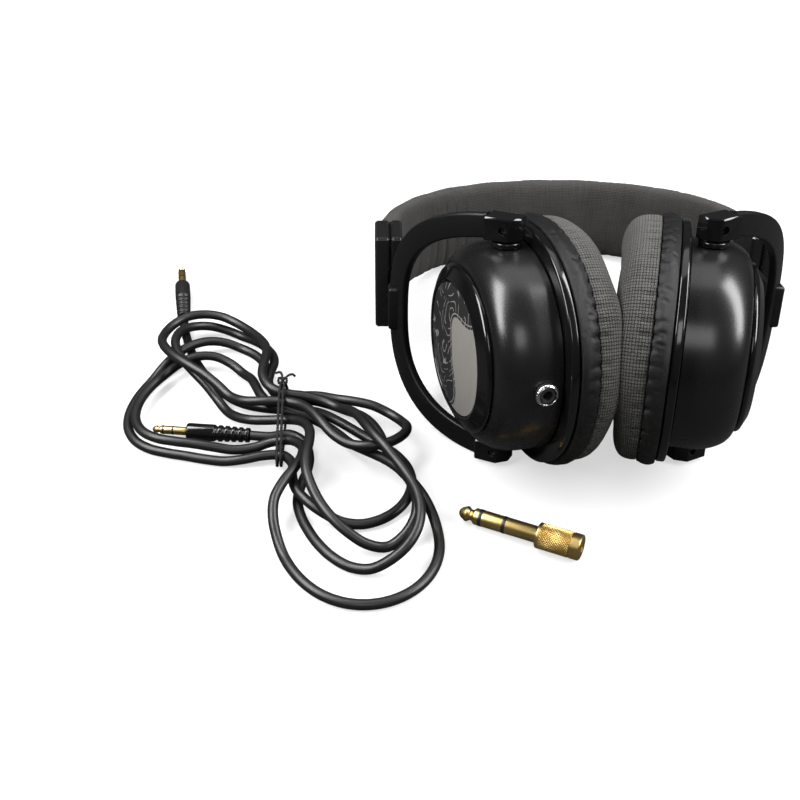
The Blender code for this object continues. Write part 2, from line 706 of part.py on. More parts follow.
def make_yoke(side, root):
    """Forged fork: two arms round the cup, a web, a boss and the flat stem."""
    first = math.asin((BLOCK_OUTER + GAP) / YOKE_REACH)
    steps = 24
    rings = []
    tip = BLOCK_OUTER + GAP - TONGUE_LENGTH
    root_run = BLOCK_OUTER + GAP
    for run in (tip, root_run):
        rings.append(arm_ring(side, run, PIVOT_HEIGHT, 0, TONGUE_WIDTH / 2, TONGUE_THICKNESS / 2))
    for step in range(steps + 1):
        angle = first + (math.pi - 2 * first) * step / steps
        run, height = arch(angle)
        ahead, behind = arch(angle + 0.01), arch(angle - 0.01)
        slope = math.atan2(ahead[1] - behind[1], ahead[0] - behind[0])
        if step in (0, steps):
            slope = 0.0 if step == 0 else math.pi
            height = math.copysign(PIVOT_HEIGHT, height)
        rings.append(arm_ring(side, run, height, slope, YOKE_ARM_WIDTH / 2, YOKE_THICKNESS / 2))
    for run in (root_run, tip):
        rings.append(arm_ring(side, run, -PIVOT_HEIGHT, math.pi, TONGUE_WIDTH / 2,
                              TONGUE_THICKNESS / 2))
    yoke = add_piece(f"yoke_{side_name(side)}", loft(rings), root, "black_anodised")

    x_low, x_high = sorted((side * (STEM_X - BOSS_THICKNESS / 2), side * (STEM_X + BOSS_THICKNESS / 2)))
    boss = box((x_low, BOSS_END - BOSS_LENGTH, -BOSS_HEIGHT / 2), (x_high, BOSS_END, BOSS_HEIGHT / 2),
               0.8 * MM)
    join(yoke, boss, "boss")
    x_low, x_high = sorted((side * (STEM_X - STEM_THICKNESS / 2), side * (STEM_X + STEM_THICKNESS / 2)))
    stem = box((x_low, BOSS_END - BOSS_LENGTH / 2, -STEM_WIDTH / 2), (x_high, STEM_END, STEM_WIDTH / 2),
               0.3 * MM)
    join(yoke, stem, "stem")


def block_axes(side):
    """Along the arm away from the pivot, and towards the block's front."""
    along = Vector((side * math.sin(YOKE_START), math.cos(YOKE_START), 0))
    front = Vector((side * math.cos(YOKE_START), -math.sin(YOKE_START), 0))
    return along, front


def make_pivot(side, end, root):
    """Pivot block on one arm, its pin, and the screw that clamps the pin."""
    label = ("bottom" if end < 0 else "top") + "_" + side_name(side)
    along, front = block_axes(side)
    centre = Vector((side * PIVOT_SPREAD, 0, 0))
    outline = [
        (BLOCK_OUTER, -BLOCK_BACK),
        (BLOCK_OUTER, BLOCK_FRONT),
        (BLOCK_CHAMFER - BLOCK_INNER, BLOCK_FRONT),
        (-BLOCK_INNER, BLOCK_FRONT - BLOCK_CHAMFER),
        (-BLOCK_INNER, -BLOCK_BACK),
    ]
    rings = []
    for height in (BLOCK_BOTTOM, BLOCK_TOP):
        rings.append([centre + along * a + front * f + Vector((0, 0, end * height))
                      for a, f in outline])
    block = add_piece(f"pivot_block_{label}", loft(rings), root, "gloss_black")
    bevel = block.modifiers.new("edges", "BEVEL")
    bevel.width = BLOCK_BEVEL
    bevel.segments = 1

    pin_top = BLOCK_BOTTOM + PIN_IN_BLOCK
    hole = PIN_RADIUS + GAP
    shaft = turned([(end * (BLOCK_BOTTOM - CUP_WALL), hole), (end * (pin_top + GAP), hole)],
                   "Z", PIN_SIDES, False)
    cut(block, shaft, "pin", Matrix.Translation(centre))

    turn = math.atan2(front.y, front.x)
    screw_place = Matrix.Translation(centre + Vector((0, 0, end * PIVOT_HEIGHT)))
    screw_place = screw_place @ Matrix.Rotation(turn, 4, "Z")
    hole = SET_SCREW_RADIUS + GAP
    cut(block, turned([(0, hole), (2 * BLOCK_FRONT, hole)], "X", PIN_SIDES, False), "screw",
        screw_place)

    low = (BLOCK_OUTER - TONGUE_LENGTH, -TONGUE_THICKNESS / 2 - GAP, -TONGUE_WIDTH / 2 - GAP)
    high = (2 * BLOCK_OUTER, TONGUE_THICKNESS / 2 + GAP, TONGUE_WIDTH / 2 + GAP)
    pocket_place = Matrix.Translation(centre + Vector((0, 0, end * PIVOT_HEIGHT)))
    pocket_place = pocket_place @ Matrix.Rotation(math.atan2(along.y, along.x), 4, "Z")
    cut(block, box(low, high), "pocket", pocket_place)

    pin_bottom = CUP_HALF_WIDTH - CUP_WALL - BUSH_BELOW_WALL
    profile = [(end * pin_bottom, PIN_RADIUS), (end * pin_top, PIN_RADIUS)]
    pin = add_piece(f"pivot_pin_{label}", turned(profile, "Z", PIN_SIDES, False), root, "zinc_screw")
    pin.location = centre

    start = PIN_RADIUS + GAP
    finish_at = BLOCK_FRONT - SET_SCREW_RECESS
    section = [(start, SET_SCREW_RADIUS), (finish_at, SET_SCREW_RADIUS),
               (finish_at, HEX_RADIUS), (finish_at - HEX_DEPTH, HEX_RADIUS)]
    screw = add_piece(f"set_screw_{label}", turned(section, "X", 12, False), root, "zinc_screw")
    screw.matrix_local = screw_place


# ================================================================ headband
def band_centre(angle):
    """Point and outward normal of the arch's centre line; the angle runs right to left."""
    c, s = math.cos(angle), math.sin(angle)
    power = 2 / BAND_POWER
    x = BAND_HALF_SPAN * math.copysign(abs(c) ** power, c)
    y = BAND_SPRING_LINE + BAND_RISE * abs(s) ** power
    return x, y


def band_point(angle):
    """Centre line point with its outward normal, by central difference."""
    step = 0.004
    x, y = band_centre(angle)
    x0, y0 = band_centre(max(angle - step, 1e-6))
    x1, y1 = band_centre(min(angle + step, math.pi - 1e-6))
    tangent = Vector((x1 - x0, y1 - y0, 0)).normalized()
    return Vector((x, y, 0)), Vector((tangent.y, -tangent.x, 0))


def band_angle(height):
    """Angle at which the right side of the arch reaches a height."""
    rise = (height - BAND_SPRING_LINE) / BAND_RISE
    return math.asin(rise ** (BAND_POWER / 2))


def band_size(angle):
    """Half width and half thickness of the covered band."""
    share = math.sin(angle) ** 2
    width = BAND_WIDTH_END + (BAND_WIDTH_TOP - BAND_WIDTH_END) * share
    thickness = BAND_THICKNESS_END + (BAND_THICKNESS_TOP - BAND_THICKNESS_END) * share
    return width / 2, thickness / 2


def band_section(angle, inset, points, gather=0.0):
    """Superellipse section of the band; gathers ripple its inner side."""
    centre, normal = band_point(angle)
    half_width, half_thickness = band_size(angle)
    ring = []
    for step in range(points):
        turn = 2 * math.pi * (step + 0.5) / points
        c, s = math.cos(turn), math.sin(turn)
        power = 2 / BAND_SECTION_POWER
        across = (half_width - inset) * math.copysign(abs(c) ** power, c)
        out = (half_thickness - inset) * math.copysign(abs(s) ** power, s)
        if s < 0:
            out -= gather * (half_thickness - inset) / half_thickness * abs(s)
        ring.append(centre + normal * out + Vector((0, 0, across)))
    return ring


def spread_angles(first, count):
    """Angles from the right end over the crown to the left end."""
    return [first + (math.pi - 2 * first) * step / (count - 1) for step in range(count)]


def make_headband(root):
    """Spring strip, foam, wire and the fabric cover that holds them."""
    cap_end = CAP_FRONT + CAP_LENGTH
    first = band_angle(cap_end + COVER_START)
    angles = spread_angles(first, 33)
    outer, inner = [], []
    for step, angle in enumerate(angles):
        fade = min(1.0, 4.0 * min(step, len(angles) - 1 - step) / len(angles))
        wave = COVER_GATHER * fade * math.sin(2 * math.pi * COVER_GATHERS * step / (len(angles) - 1))
        outer.append(band_section(angle, 0.0, COVER_SIDES, wave))
        inner.append(band_section(angle, COVER_WALL, COVER_SIDES, wave))
    shell = loft(outer + list(reversed(inner)), True)
    add_piece("headband_cover", shell, root, "band_fabric", 60.0)

    rings = []
    half = SPRING_WIDTH / 2
    low, high = SPRING_OFFSET, SPRING_OFFSET + SPRING_THICKNESS
    lead_in = CAP_LENGTH - 2 * CAP_WALL
    for end in (1, -1):
        sequence = []
        foot = CAP_FRONT + CAP_WALL + GAP
        for height in (foot, foot + lead_in / 2):
            x = BAND_HALF_SPAN
            sequence.append([Vector((end * (x + out), height, z))
                             for out, z in ((low, -half), (low, half), (high, half), (high, -half))])
        if end > 0:
            rings += sequence
            for angle in spread_angles(first, 25):
                centre, normal = band_point(angle)
                rings.append([centre + normal * out + Vector((0, 0, z))
                              for out, z in ((low, -half), (low, half), (high, half), (high, -half))])
        else:
            rings += list(reversed(sequence))
    add_piece("headband_spring", loft(rings), root, "spring_steel")

    rings = []
    for angle in spread_angles(band_angle(cap_end + FOAM_START), 19):
        centre, normal = band_point(angle)
        half_width, half_thickness = band_size(angle)
        inset = COVER_WALL + FOAM_CLEARANCE
        top = SPRING_OFFSET - GAP
        bottom = inset - half_thickness
        side_z = half_width - inset - 1.2 * MM
        ledge = WIRE_HEIGHT - 2 * WIRE_RADIUS
        section = [(top, -ledge), (top, ledge), (0.0, side_z),
                   (bottom * 0.6, side_z), (bottom, side_z * 0.66), (bottom, -side_z * 0.66),
                   (bottom * 0.6, -side_z), (0.0, -side_z)]
        rings.append([centre + normal * out + Vector((0, 0, z)) for out, z in section])
    add_piece("headband_pad", loft(rings), root, "foam")

    make_wire(root, first)


def make_wire(root, first):
    """Wire from the left cup's side to the right, along the strip's front edge."""
    route = []
    out = SPRING_OFFSET
    foot = CAP_FRONT + CAP_WALL + WIRE_FOOT
    for height in (foot, foot + WIRE_FOOT):
        route.append(Vector((BAND_HALF_SPAN + out, height, WIRE_HEIGHT)))
    for angle in spread_angles(first, 25):
        centre, normal = band_point(angle)
        route.append(centre + normal * out + Vector((0, 0, WIRE_HEIGHT)))
    for height in (foot + WIRE_FOOT, foot):
        route.append(Vector((-BAND_HALF_SPAN - out, height, WIRE_HEIGHT)))
    tube("headband_wire", route, WIRE_RADIUS, 1, root, "cable_rubber")


def tube(name, route, radius, resolution, parent, look):
    """Round tube along a route, as a bevelled curve with filled ends."""
    curve = bpy.data.curves.new(name, "CURVE")
    curve.dimensions = "3D"
    curve.bevel_depth = radius
    curve.bevel_resolution = resolution
    curve.use_fill_caps = True
    spline = curve.splines.new("POLY")
    spline.points.add(len(route) - 1)
    for point, place in zip(spline.points, route):
        point.co = (*place, 1.0)
    curve.materials.append(finish(look))
    piece = bpy.data.objects.new(name, curve)
    bpy.context.collection.objects.link(piece)
    piece.parent = parent
    return piece


def make_end_cap(side, root):
    """Two-shell end cap, the stem's guide inside it and the screw that closes it."""
    name = side_name(side)
    far = CAP_FRONT + CAP_LENGTH
    half = CAP_WIDTH / 2

    def across(a, b):
        return sorted((side * a, side * b))

    x_low, x_high = across(CAP_INNER_FACE, CAP_SPLIT)
    inner = add_piece(f"end_cap_inner_{name}",
                      box((x_low, CAP_FRONT, -half), (x_high, far, half), CAP_BEVEL), root,
                      "satin_black")
    x_low, x_high = across(CAP_INNER_FACE + CAP_WALL, CAP_SPLIT + CAP_WALL)
    cut(inner, box((x_low, CAP_FRONT + CAP_WALL, CAP_WALL - half),
                   (x_high, far + CAP_WALL, half - CAP_WALL)), "hollow")
    slot = STEM_WIDTH / 2 + SLIDE_CLEARANCE
    x_low, x_high = across(STEM_X - STEM_THICKNESS / 2 - SLIDE_CLEARANCE, CAP_SPLIT + CAP_WALL)
    cut(inner, box((x_low, CAP_FRONT - CAP_WALL, -slot), (x_high, CAP_FRONT + 2 * CAP_WALL, slot)),
        "slot")
    screw_y = CAP_FRONT + CAP_SCREW_FROM_FRONT
    hole = CAP_SCREW_RADIUS + GAP
    ends = [(side * (CAP_INNER_FACE - CAP_WALL), hole), (side * (CAP_SPLIT + CAP_WALL), hole)]
    place = Matrix.Translation((0, screw_y, -CAP_SCREW_HEIGHT))
    cut(inner, turned(ends, "X", PIN_SIDES, False), "screw_hole", place)

    x_low, x_high = across(CAP_SPLIT + GAP, CAP_OUTER_FACE)
    outer = add_piece(f"end_cap_outer_{name}",
                      box((x_low, CAP_FRONT, -half), (x_high, far, half), CAP_BEVEL), root,
                      "satin_black")
    x_low, x_high = across(CAP_SPLIT - CAP_WALL, CAP_OUTER_FACE - CAP_WALL)
    cut(outer, box((x_low, CAP_FRONT + CAP_WALL, CAP_WALL - half),
                   (x_high, far + CAP_WALL, half - CAP_WALL)), "hollow")

    make_guide(side, root)

    head = CAP_INNER_FACE - GAP
    tip = CAP_OUTER_FACE - CAP_WALL - GAP
    section = [(side * (head - 1.2 * MM), 0.7 * CAP_SCREW_HEAD), (side * (head - 0.5 * MM), CAP_SCREW_HEAD),
               (side * head, CAP_SCREW_HEAD), (side * head, CAP_SCREW_RADIUS),
               (side * tip, CAP_SCREW_RADIUS)]
    screw = add_piece(f"cap_screw_{name}", turned(section, "X", 12, False), root, "zinc_screw")
    screw.location = (0, screw_y, -CAP_SCREW_HEIGHT)


def make_guide(side, root):
    """Channel in the end cap that the stem slides in."""
    inner = GUIDE_INNER
    outer = STEM_X + STEM_THICKNESS / 2 + SLIDE_CLEARANCE + GUIDE_WALL
    half = STEM_WIDTH / 2 + SLIDE_CLEARANCE
    low = CAP_FRONT + CAP_WALL + GAP
    high = low + GUIDE_LENGTH
    x_low, x_high = sorted((side * inner, side * outer))
    guide = add_piece(f"slider_guide_{side_name(side)}",
                      box((x_low, low, -half - GUIDE_RIM), (x_high, high, half + GUIDE_RIM)), root,
                      "driver_plastic")
    x_low, x_high = sorted((side * (inner + GUIDE_WALL), side * (outer - GUIDE_WALL)))
    cut(guide, box((x_low, low - CAP_WALL, -half), (x_high, high + CAP_WALL, half)), "channel")


# ================================================================ lie on the floor
def world_points(pieces):
    """Corner points of the evaluated pieces, in world coordinates, as one array."""
    graph = bpy.context.evaluated_depsgraph_get()
    clouds = []
    for piece in pieces:
        seen = piece.evaluated_get(graph)
        mesh = seen.to_mesh()
        flat = np.empty(len(mesh.vertices) * 3)
        mesh.vertices.foreach_get("co", flat)
        matrix = np.array(piece.matrix_world)
        clouds.append(flat.reshape(-1, 3) @ matrix[:3, :3].T + matrix[:3, 3])
        seen.to_mesh_clear()
    return np.vstack(clouds)


def lay_down(root):
    """Tip the headphones back until the headband touches the floor the cups lie on."""
    bpy.context.view_layer.update()
    solids = [thing for thing in bpy.data.objects if thing.type in {"MESH", "CURVE"}
              and not thing.hide_render]
    band = [thing for thing in solids if thing.name.startswith(("headband", "end_cap"))]
    front = [thing for thing in solids if thing not in band]
    band_cloud, front_cloud = world_points(band), world_points(front)

    def lowest(cloud, tip):
        return (cloud[:, 2] * math.cos(tip) - cloud[:, 1] * math.sin(tip)).min()

    low, high = 0.0, math.radians(40.0)
    for _ in range(40):
        tip = (low + high) / 2
        if lowest(band_cloud, tip) > lowest(front_cloud, tip):
            low = tip
        else:
            high = tip
    root.rotation_euler = (-tip, 0, 0)
    cloud = np.vstack([band_cloud, front_cloud])
    turn = np.array(Matrix.Rotation(-tip, 3, "X"))
    cloud = cloud @ turn.T
    low, high = cloud.min(axis=0), cloud.max(axis=0)
    root.location = (-(low[0] + high[0]) / 2, -(low[1] + high[1]) / 2, -low[2])
    bpy.context.view_layer.update()
    print("tipped back", round(math.degrees(tip), 3), "degrees, pivots", round(PIVOT_SPREAD / MM, 3),
          "mm from the middle, moved", [round(v / MM, 3) for v in root.location], "mm")


# ================================================================ lead
def lobe_plan(lobe, place_in, place_out):
    """One lobe of the hank from waist to waist, seen from above.

    Out and back along its heading as sin squared, and apart as sin 2t, so that it
    leaves the waist straight; it turns to its heading within its first half.
    """
    side, heading, length, width = lobe
    t = np.linspace(0.0, math.pi, 400)
    rise = np.abs(np.sin(t))
    along = length * rise ** 2
    apart = width / 2 * np.sin(2 * t) * rise ** 1.5 * math.copysign(1.0, place_in - place_out)
    across = place_in * np.cos(t / 2) ** 2 + place_out * np.sin(t / 2) ** 2 + apart
    share = np.clip(along / (0.45 * length), 0.0, 1.0)
    turn = math.radians(heading) * share ** 2 * (3 - 2 * share)
    x = WAIST[0] + side * (along * np.cos(turn) + across * np.sin(turn))
    y = WAIST[1] - along * np.sin(turn) + across * np.cos(turn)
    return np.column_stack([x, y])


def end_plan(place, plug):
    """Lead from the waist to a plug, as a cubic with a straight end one diameter long."""
    heading = np.array([math.cos(math.radians(plug[2])), math.sin(math.radians(plug[2]))])
    start = np.array([WAIST[0], WAIST[1] + place])
    goal = np.array(plug[:2])
    before = goal - heading * 2 * LEAD_RADIUS
    pull = np.linalg.norm(before - start)
    t = np.linspace(0.0, 1.0, 120)[:, None]
    curve = (2 * t ** 3 - 3 * t ** 2 + 1) * start + (3 * t ** 2 - 2 * t ** 3) * before
    curve += (t ** 3 - 2 * t ** 2 + t) * np.array([-pull, 0.0]) + (t ** 3 - t ** 2) * heading * pull
    return np.vstack([curve, goal[None]])


def evened(points, count):
    """The same path with its points evenly spaced."""
    steps = np.linalg.norm(np.diff(points, axis=0), axis=1)
    run = np.concatenate([[0.0], np.cumsum(steps)])
    at = np.linspace(0.0, run[-1], count)
    return np.column_stack([np.interp(at, run, column) for column in points.T])


def path_length(points):
    return float(np.linalg.norm(np.diff(points, axis=0), axis=1).sum())


def rounded(points, width, odd):
    """Path or heights averaged over a bell of the given width, ends held."""
    reach = math.ceil(3 * width / LEAD_STEP)
    bell = np.exp(-0.5 * (np.arange(-reach, reach + 1) * LEAD_STEP / width) ** 2)
    bell /= bell.sum()
    ends = "odd" if odd else "even"
    padded = np.pad(points, ((reach, reach), (0, 0)), mode="reflect", reflect_type=ends)
    return np.column_stack([np.convolve(column, bell, mode="valid") for column in padded.T])


def draped(flat, tucked):
    """Height of the lead's centre line as it is laid down in order over itself.

    Where it crosses what lies there already, it rests on it; from each crossing it
    falls away as a parabola. The tucked length at its far end lies under the rest.
    """
    along = np.arange(len(flat)) * LEAD_STEP
    laid = np.where(along > along[-1] - tucked, along - 2 * along[-1], along)
    reach = 2 * LEAD_RADIUS + LEAD_GAP
    apart = np.linalg.norm(flat[:, None] - flat[None], axis=2)
    elsewhere = np.abs(along[:, None] - along[None]) > 4 * reach
    over = elsewhere & (laid[:, None] > laid[None]) & (apart < reach)
    lift = np.sqrt(np.maximum(reach ** 2 - apart ** 2, 0.0))
    fall = LEAD_HUMP * (along[:, None] - along[None]) ** 2

    floor = np.full(len(flat), LEAD_RADIUS)
    at_tie = np.abs(flat[:, 0] - WAIST[0]) < 3 * TIE_WIDTH
    at_tie &= np.abs(flat[:, 1] - WAIST[1]) < 4 * WAIST_STEP
    floor[at_tie] += TIE_THICKNESS + 2 * GAP
    straight = math.ceil(2 * LEAD_RADIUS / LEAD_STEP) + 1
    floor[:straight] = PLUG_RADIUS
    floor[-straight:] = PLUG_RADIUS
    height = floor.copy()
    layers = 14
    for _ in range(layers):
        needed = np.maximum(floor, np.where(over, height[None] + lift, 0.0).max(axis=1))
        height = np.maximum((needed[None] - fall).max(axis=1), floor)
    return rounded(height[:, None], LEAD_STEP * 1.5, False)


def lead_route():
    """Centre line of the whole lead, from plug B through the hank to plug A.

    Its first and last steps run straight along the plugs.
    """
    places = [half_steps * WAIST_STEP / 2 for half_steps in WAIST_PLACES]
    plan_parts = [end_plan(places[0], PLUG_B)[::-1]]
    for lobe, place_in, place_out in zip(LOBES, places, places[1:]):
        plan_parts.append(lobe_plan(lobe, place_in, place_out)[1:])
    plan_parts.append(end_plan(places[-1], PLUG_A)[1:])
    last_lobe, last_end = plan_parts[-2:]
    tucked = path_length(last_lobe[len(last_lobe) // 2:]) + path_length(last_end)
    flat = np.vstack(plan_parts)
    flat = evened(flat, round(path_length(flat) / LEAD_STEP) + 1)
    flat = rounded(flat, LEAD_CRUSH, True)
    flat = evened(flat, round(path_length(flat) / LEAD_STEP) + 1)
    route = np.column_stack([flat, draped(flat, tucked)])
    route = evened(route, round(path_length(route) / LOBE_LENGTH * LOBE_POINTS))
    for last, second, plug in ((0, 1, PLUG_B), (-1, -2, PLUG_A)):
        heading = math.radians(plug[2])
        route[last] = (plug[0], plug[1], PLUG_RADIUS)
        step = np.linalg.norm(route[second] - route[last])
        route[second] = route[last] - step * np.array([math.cos(heading), math.sin(heading), 0.0])
    return route


def report_lead(route):
    """Print the lead's length and its least gap to itself, measured on points."""
    spacing = LEAD_RADIUS / 2
    points = evened(route, round(path_length(route) / spacing))
    along = np.arange(len(points)) * spacing
    apart = np.linalg.norm(points[:, None] - points[None], axis=2)
    apart[np.abs(along[:, None] - along[None]) < 10 * LEAD_RADIUS] = 1.0
    print("lead", round(path_length(route) / MM), "mm long,", len(route), "points, least gap to itself",
          round((apart.min() - 2 * LEAD_RADIUS) / MM, 2), "mm")


def make_tie(route):
    """Band that holds the hank at its waist: a hull round the leads inside its width."""
    points = evened(route, round(path_length(route) / (LEAD_RADIUS / 4)))
    held = np.abs(points[:, 0] - WAIST[0]) < TIE_WIDTH
    held &= np.abs(points[:, 1] - WAIST[1]) < 4 * WAIST_STEP
    leads = points[held, 1:]

    def hull(out, x):
        ring = []
        for step in range(TIE_SIDES):
            turn = 2 * math.pi * step / TIE_SIDES
            normal = np.array([math.cos(turn), math.sin(turn)])
            y, z = leads[np.argmax(leads @ normal)] + normal * (LEAD_RADIUS + out)
            ring.append(Vector((x, y, z)))
        return ring

    x_low, x_high = WAIST[0] - TIE_WIDTH / 2, WAIST[0] + TIE_WIDTH / 2
    outside = GAP + TIE_THICKNESS
    rings = [hull(GAP, x_low), hull(outside, x_low), hull(outside, x_high), hull(GAP, x_high)]
    add_piece("cable_tie", loft(rings, True), None, "leatherette")


def make_plug(label, plug):
    """Moulded body with its ribbed relief, and the stepped contact pin."""
    place = Matrix.Translation((plug[0], plug[1], PLUG_RADIUS))
    place = place @ Matrix.Rotation(math.radians(plug[2]), 4, "Z")
    rib = RELIEF_LENGTH / RELIEF_RIBS
    profile = []
    for count in range(RELIEF_RIBS):
        start = GAP + count * rib
        skin = RELIEF_RADIUS + (PLUG_RADIUS - RELIEF_RADIUS) * count / (2 * RELIEF_RIBS)
        profile += [(start, skin), (start + rib * 0.1, skin + RIB_HEIGHT),
                    (start + rib * 0.6, skin + RIB_HEIGHT)]
    barrel = GAP + RELIEF_LENGTH
    end = barrel + PLUG_BARREL
    profile += [(barrel, PLUG_RADIUS - RIB_HEIGHT), (barrel + RIB_HEIGHT, PLUG_RADIUS),
                (end - RIB_HEIGHT, PLUG_RADIUS), (end, PLUG_RADIUS - RIB_HEIGHT)]
    body = add_piece(f"plug_{label}_body", turned(profile, "X", PIN_SIDES, False), None,
                     "cable_rubber")
    body.matrix_world = place

    foot = end + GAP
    profile = contact_profile(foot, foot + CONTACT_LENGTH, CONTACT_RADIUS)
    contact = add_piece(f"plug_{label}_contact", turned(profile, "X", PIN_SIDES, False), None, "gold")
    contact.matrix_world = place


def contact_profile(foot, tip, radius):
    """Profile of a plug's contact: shaft, neck, shoulder and rounded point."""
    return [(foot, radius), (tip - 2.0 * radius, radius), (tip - 1.7 * radius, 0.66 * radius),
            (tip - 1.4 * radius, 0.66 * radius), (tip - 1.0 * radius, 0.97 * radius),
            (tip - 0.3 * radius, 0.62 * radius), (tip, 0.25 * radius)]


def make_adapter():
    """Adapter to the large plug: shaft, knurled sleeve and the socket in its end."""
    end = ADAPTER_SHAFT + ADAPTER_SLEEVE
    bore = CONTACT_RADIUS + GAP / 3
    point = [(ADAPTER_SHAFT - along, radius)
             for along, radius in contact_profile(0.0, ADAPTER_SHAFT, ADAPTER_RADIUS)]
    edge = 0.6 * MM
    profile = list(reversed(point)) + [
        (ADAPTER_SHAFT, ADAPTER_SLEEVE_RADIUS - edge),
        (ADAPTER_SHAFT + edge, ADAPTER_SLEEVE_RADIUS),
        (end - edge, ADAPTER_SLEEVE_RADIUS),
        (end, ADAPTER_SLEEVE_RADIUS - edge),
        (end, bore),
        (end - ADAPTER_BORE_DEPTH, bore),
    ]
    adapter = add_piece("adapter", turned(profile, "X", TURNED_SIDES, False), None, "gold")
    rise = math.atan2(ADAPTER_SLEEVE_RADIUS - ADAPTER_RADIUS, ADAPTER_SHAFT + edge)
    place = Matrix.Translation((*ADAPTER_TIP, ADAPTER_RADIUS))
    place = place @ Matrix.Rotation(math.radians(ADAPTER_HEADING), 4, "Z")
    adapter.matrix_world = place @ Matrix.Rotation(-rise, 4, "Y")


def make_lead():
    """The detachable lead, looped and tied, with its two plugs and the adapter."""
    route = lead_route()
    report_lead(route)
    tube("cable_hank", route, LEAD_RADIUS, 1, None, "cable_rubber")
    make_tie(route)
    make_plug("a", PLUG_A)
    make_plug("b", PLUG_B)
    make_adapter()


def main():
    clear_scene()
    root = empty("headphones")
    for side in (-1, 1):
        make_cup(side, root)
        make_yoke(side, root)
        for end in (-1, 1):
            make_pivot(side, end, root)
        make_end_cap(side, root)
    make_headband(root)
    lay_down(root)
    make_lead()


main()
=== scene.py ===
"""Wired studio headphones and their lead, dressed round the packed model.

Laid out as an add-on: the property groups hold what a user would change, each
operator makes one group of pieces, and main() calls them in order.
"""

import json
import math

import bmesh
import bpy
import numpy as np
from mathutils import Matrix


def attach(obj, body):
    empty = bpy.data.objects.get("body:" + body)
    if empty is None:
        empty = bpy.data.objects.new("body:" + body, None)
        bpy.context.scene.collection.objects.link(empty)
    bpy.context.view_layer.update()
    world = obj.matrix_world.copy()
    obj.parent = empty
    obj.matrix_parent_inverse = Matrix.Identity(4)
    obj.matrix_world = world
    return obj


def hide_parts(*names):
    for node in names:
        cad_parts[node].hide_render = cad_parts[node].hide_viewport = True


bl_info = {
    "name": "Wired Studio Headphones",
    "version": (1, 0, 0),
    "blender": (4, 5, 0),
    "location": "View3D > Sidebar > Headphones",
    "description": "Dresses the packed headphones with cushions, covers, lead and finishes",
    "category": "Add Mesh",
}

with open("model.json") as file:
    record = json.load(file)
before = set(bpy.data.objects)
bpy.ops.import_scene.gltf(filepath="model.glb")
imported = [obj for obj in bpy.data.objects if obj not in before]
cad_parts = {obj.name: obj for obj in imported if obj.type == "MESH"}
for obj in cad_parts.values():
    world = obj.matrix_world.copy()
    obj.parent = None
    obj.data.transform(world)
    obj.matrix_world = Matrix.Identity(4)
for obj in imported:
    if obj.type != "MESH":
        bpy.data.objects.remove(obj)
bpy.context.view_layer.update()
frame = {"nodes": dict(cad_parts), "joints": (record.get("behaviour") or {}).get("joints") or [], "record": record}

MM = 0.001
SIDES = (-1, 1)
TAU = 2 * math.pi
UP = np.array([0.0, 0.0, 1.0])

# ---------------------------------------------------------------- sizes, in millimetres
GAP = 0.3
CUP_TOE = math.radians(14.0)
CUP_HALF_WIDTH = 39.2
CUP_HALF_HEIGHT = 42.0
CUP_POWER = 2.15
CUP_DEPTH = 15.0
CUP_SHOULDER = 7.7
CUP_WALL = 2.0
CUP_FRONT = 7.9
HOUSING_EDGE = 0.35
CUP_SEGMENTS = 160
PAD_SEGMENTS = 560
SHOULDER_ANGLE = math.radians(82.0)

FLANGE_OVERHANG = 6.0
FLANGE_THICKNESS = 3.5
FLANGE_EDGE = 0.9
FLANGE_LEVEL = 0.5
BAFFLE_SHEET = 2.4
SPIGOT_DEPTH = 2.2
SPIGOT_WALL = 1.5
DRIVER_HOLE = 20.6

RING_INSET = 0.5
RING_WIDTH = 6.2
RING_HEIGHT = 4.2
PLATE_EDGE = 3.6
PLATE_CROWN = 2.2
PRINT_PLACE = (-77.0, 48.0)
FOAM_THICKNESS = 4.6
FOAM_INSET = 1.2

PAD_THICKNESS = 16.6
PAD_OVERHANG = 1.8
PAD_OPENING_HALF_WIDTH = 22.5
PAD_OPENING_HALF_HEIGHT = 27.5
PAD_BAND_HEIGHT = 6.6
PAD_BAND_THICKNESS = 4.0
PAD_SEAM_DEPTH = 1.5
PAD_GATHERS = 58
PAD_FULL = (0.28, 0.42)  # left and right: how much fuller the upper front stands
PAD_GRID = 0.75
PUCKER_DEPTH = 1.5
PUCKER_ROLL = 0.25
INNER_PUCKER_DEPTH = 0.5
LUMP_DEPTH = 0.50
FOLD_DEPTH = 0.08

PIVOT_HEIGHT = 46.0
BLOCK_HEIGHT = 8.8
BLOCK_OUTER = 7.5
BLOCK_EDGE = 0.22
BUSH_RADIUS = 3.0
BUSH_COLLAR_RADIUS = 5.6
BUSH_BELOW_WALL = 1.2
PIN_BORE = 1.8

YOKE_REACH = 52.0
YOKE_START = math.radians(62.0)
YOKE_END = math.radians(34.0)
YOKE_ARM_WIDTH = 9.2
YOKE_THICKNESS = 3.4
YOKE_EDGE = 0.9
YOKE_ARCH_POWER = 2.7
TONGUE_LENGTH = 4.0
TONGUE_WIDTH = 6.0
TONGUE_THICKNESS = 2.4
BOSS_HEIGHT = 18.0
BOSS_LENGTH = 7.5
BOSS_THICKNESS = 5.6
WEB_TO_STEM = 1.6
STEM_WIDTH = 12.0
STEM_THICKNESS = 2.2
STEM_ENGAGED = 20.0
SLIDE_SHOWN = 20.5

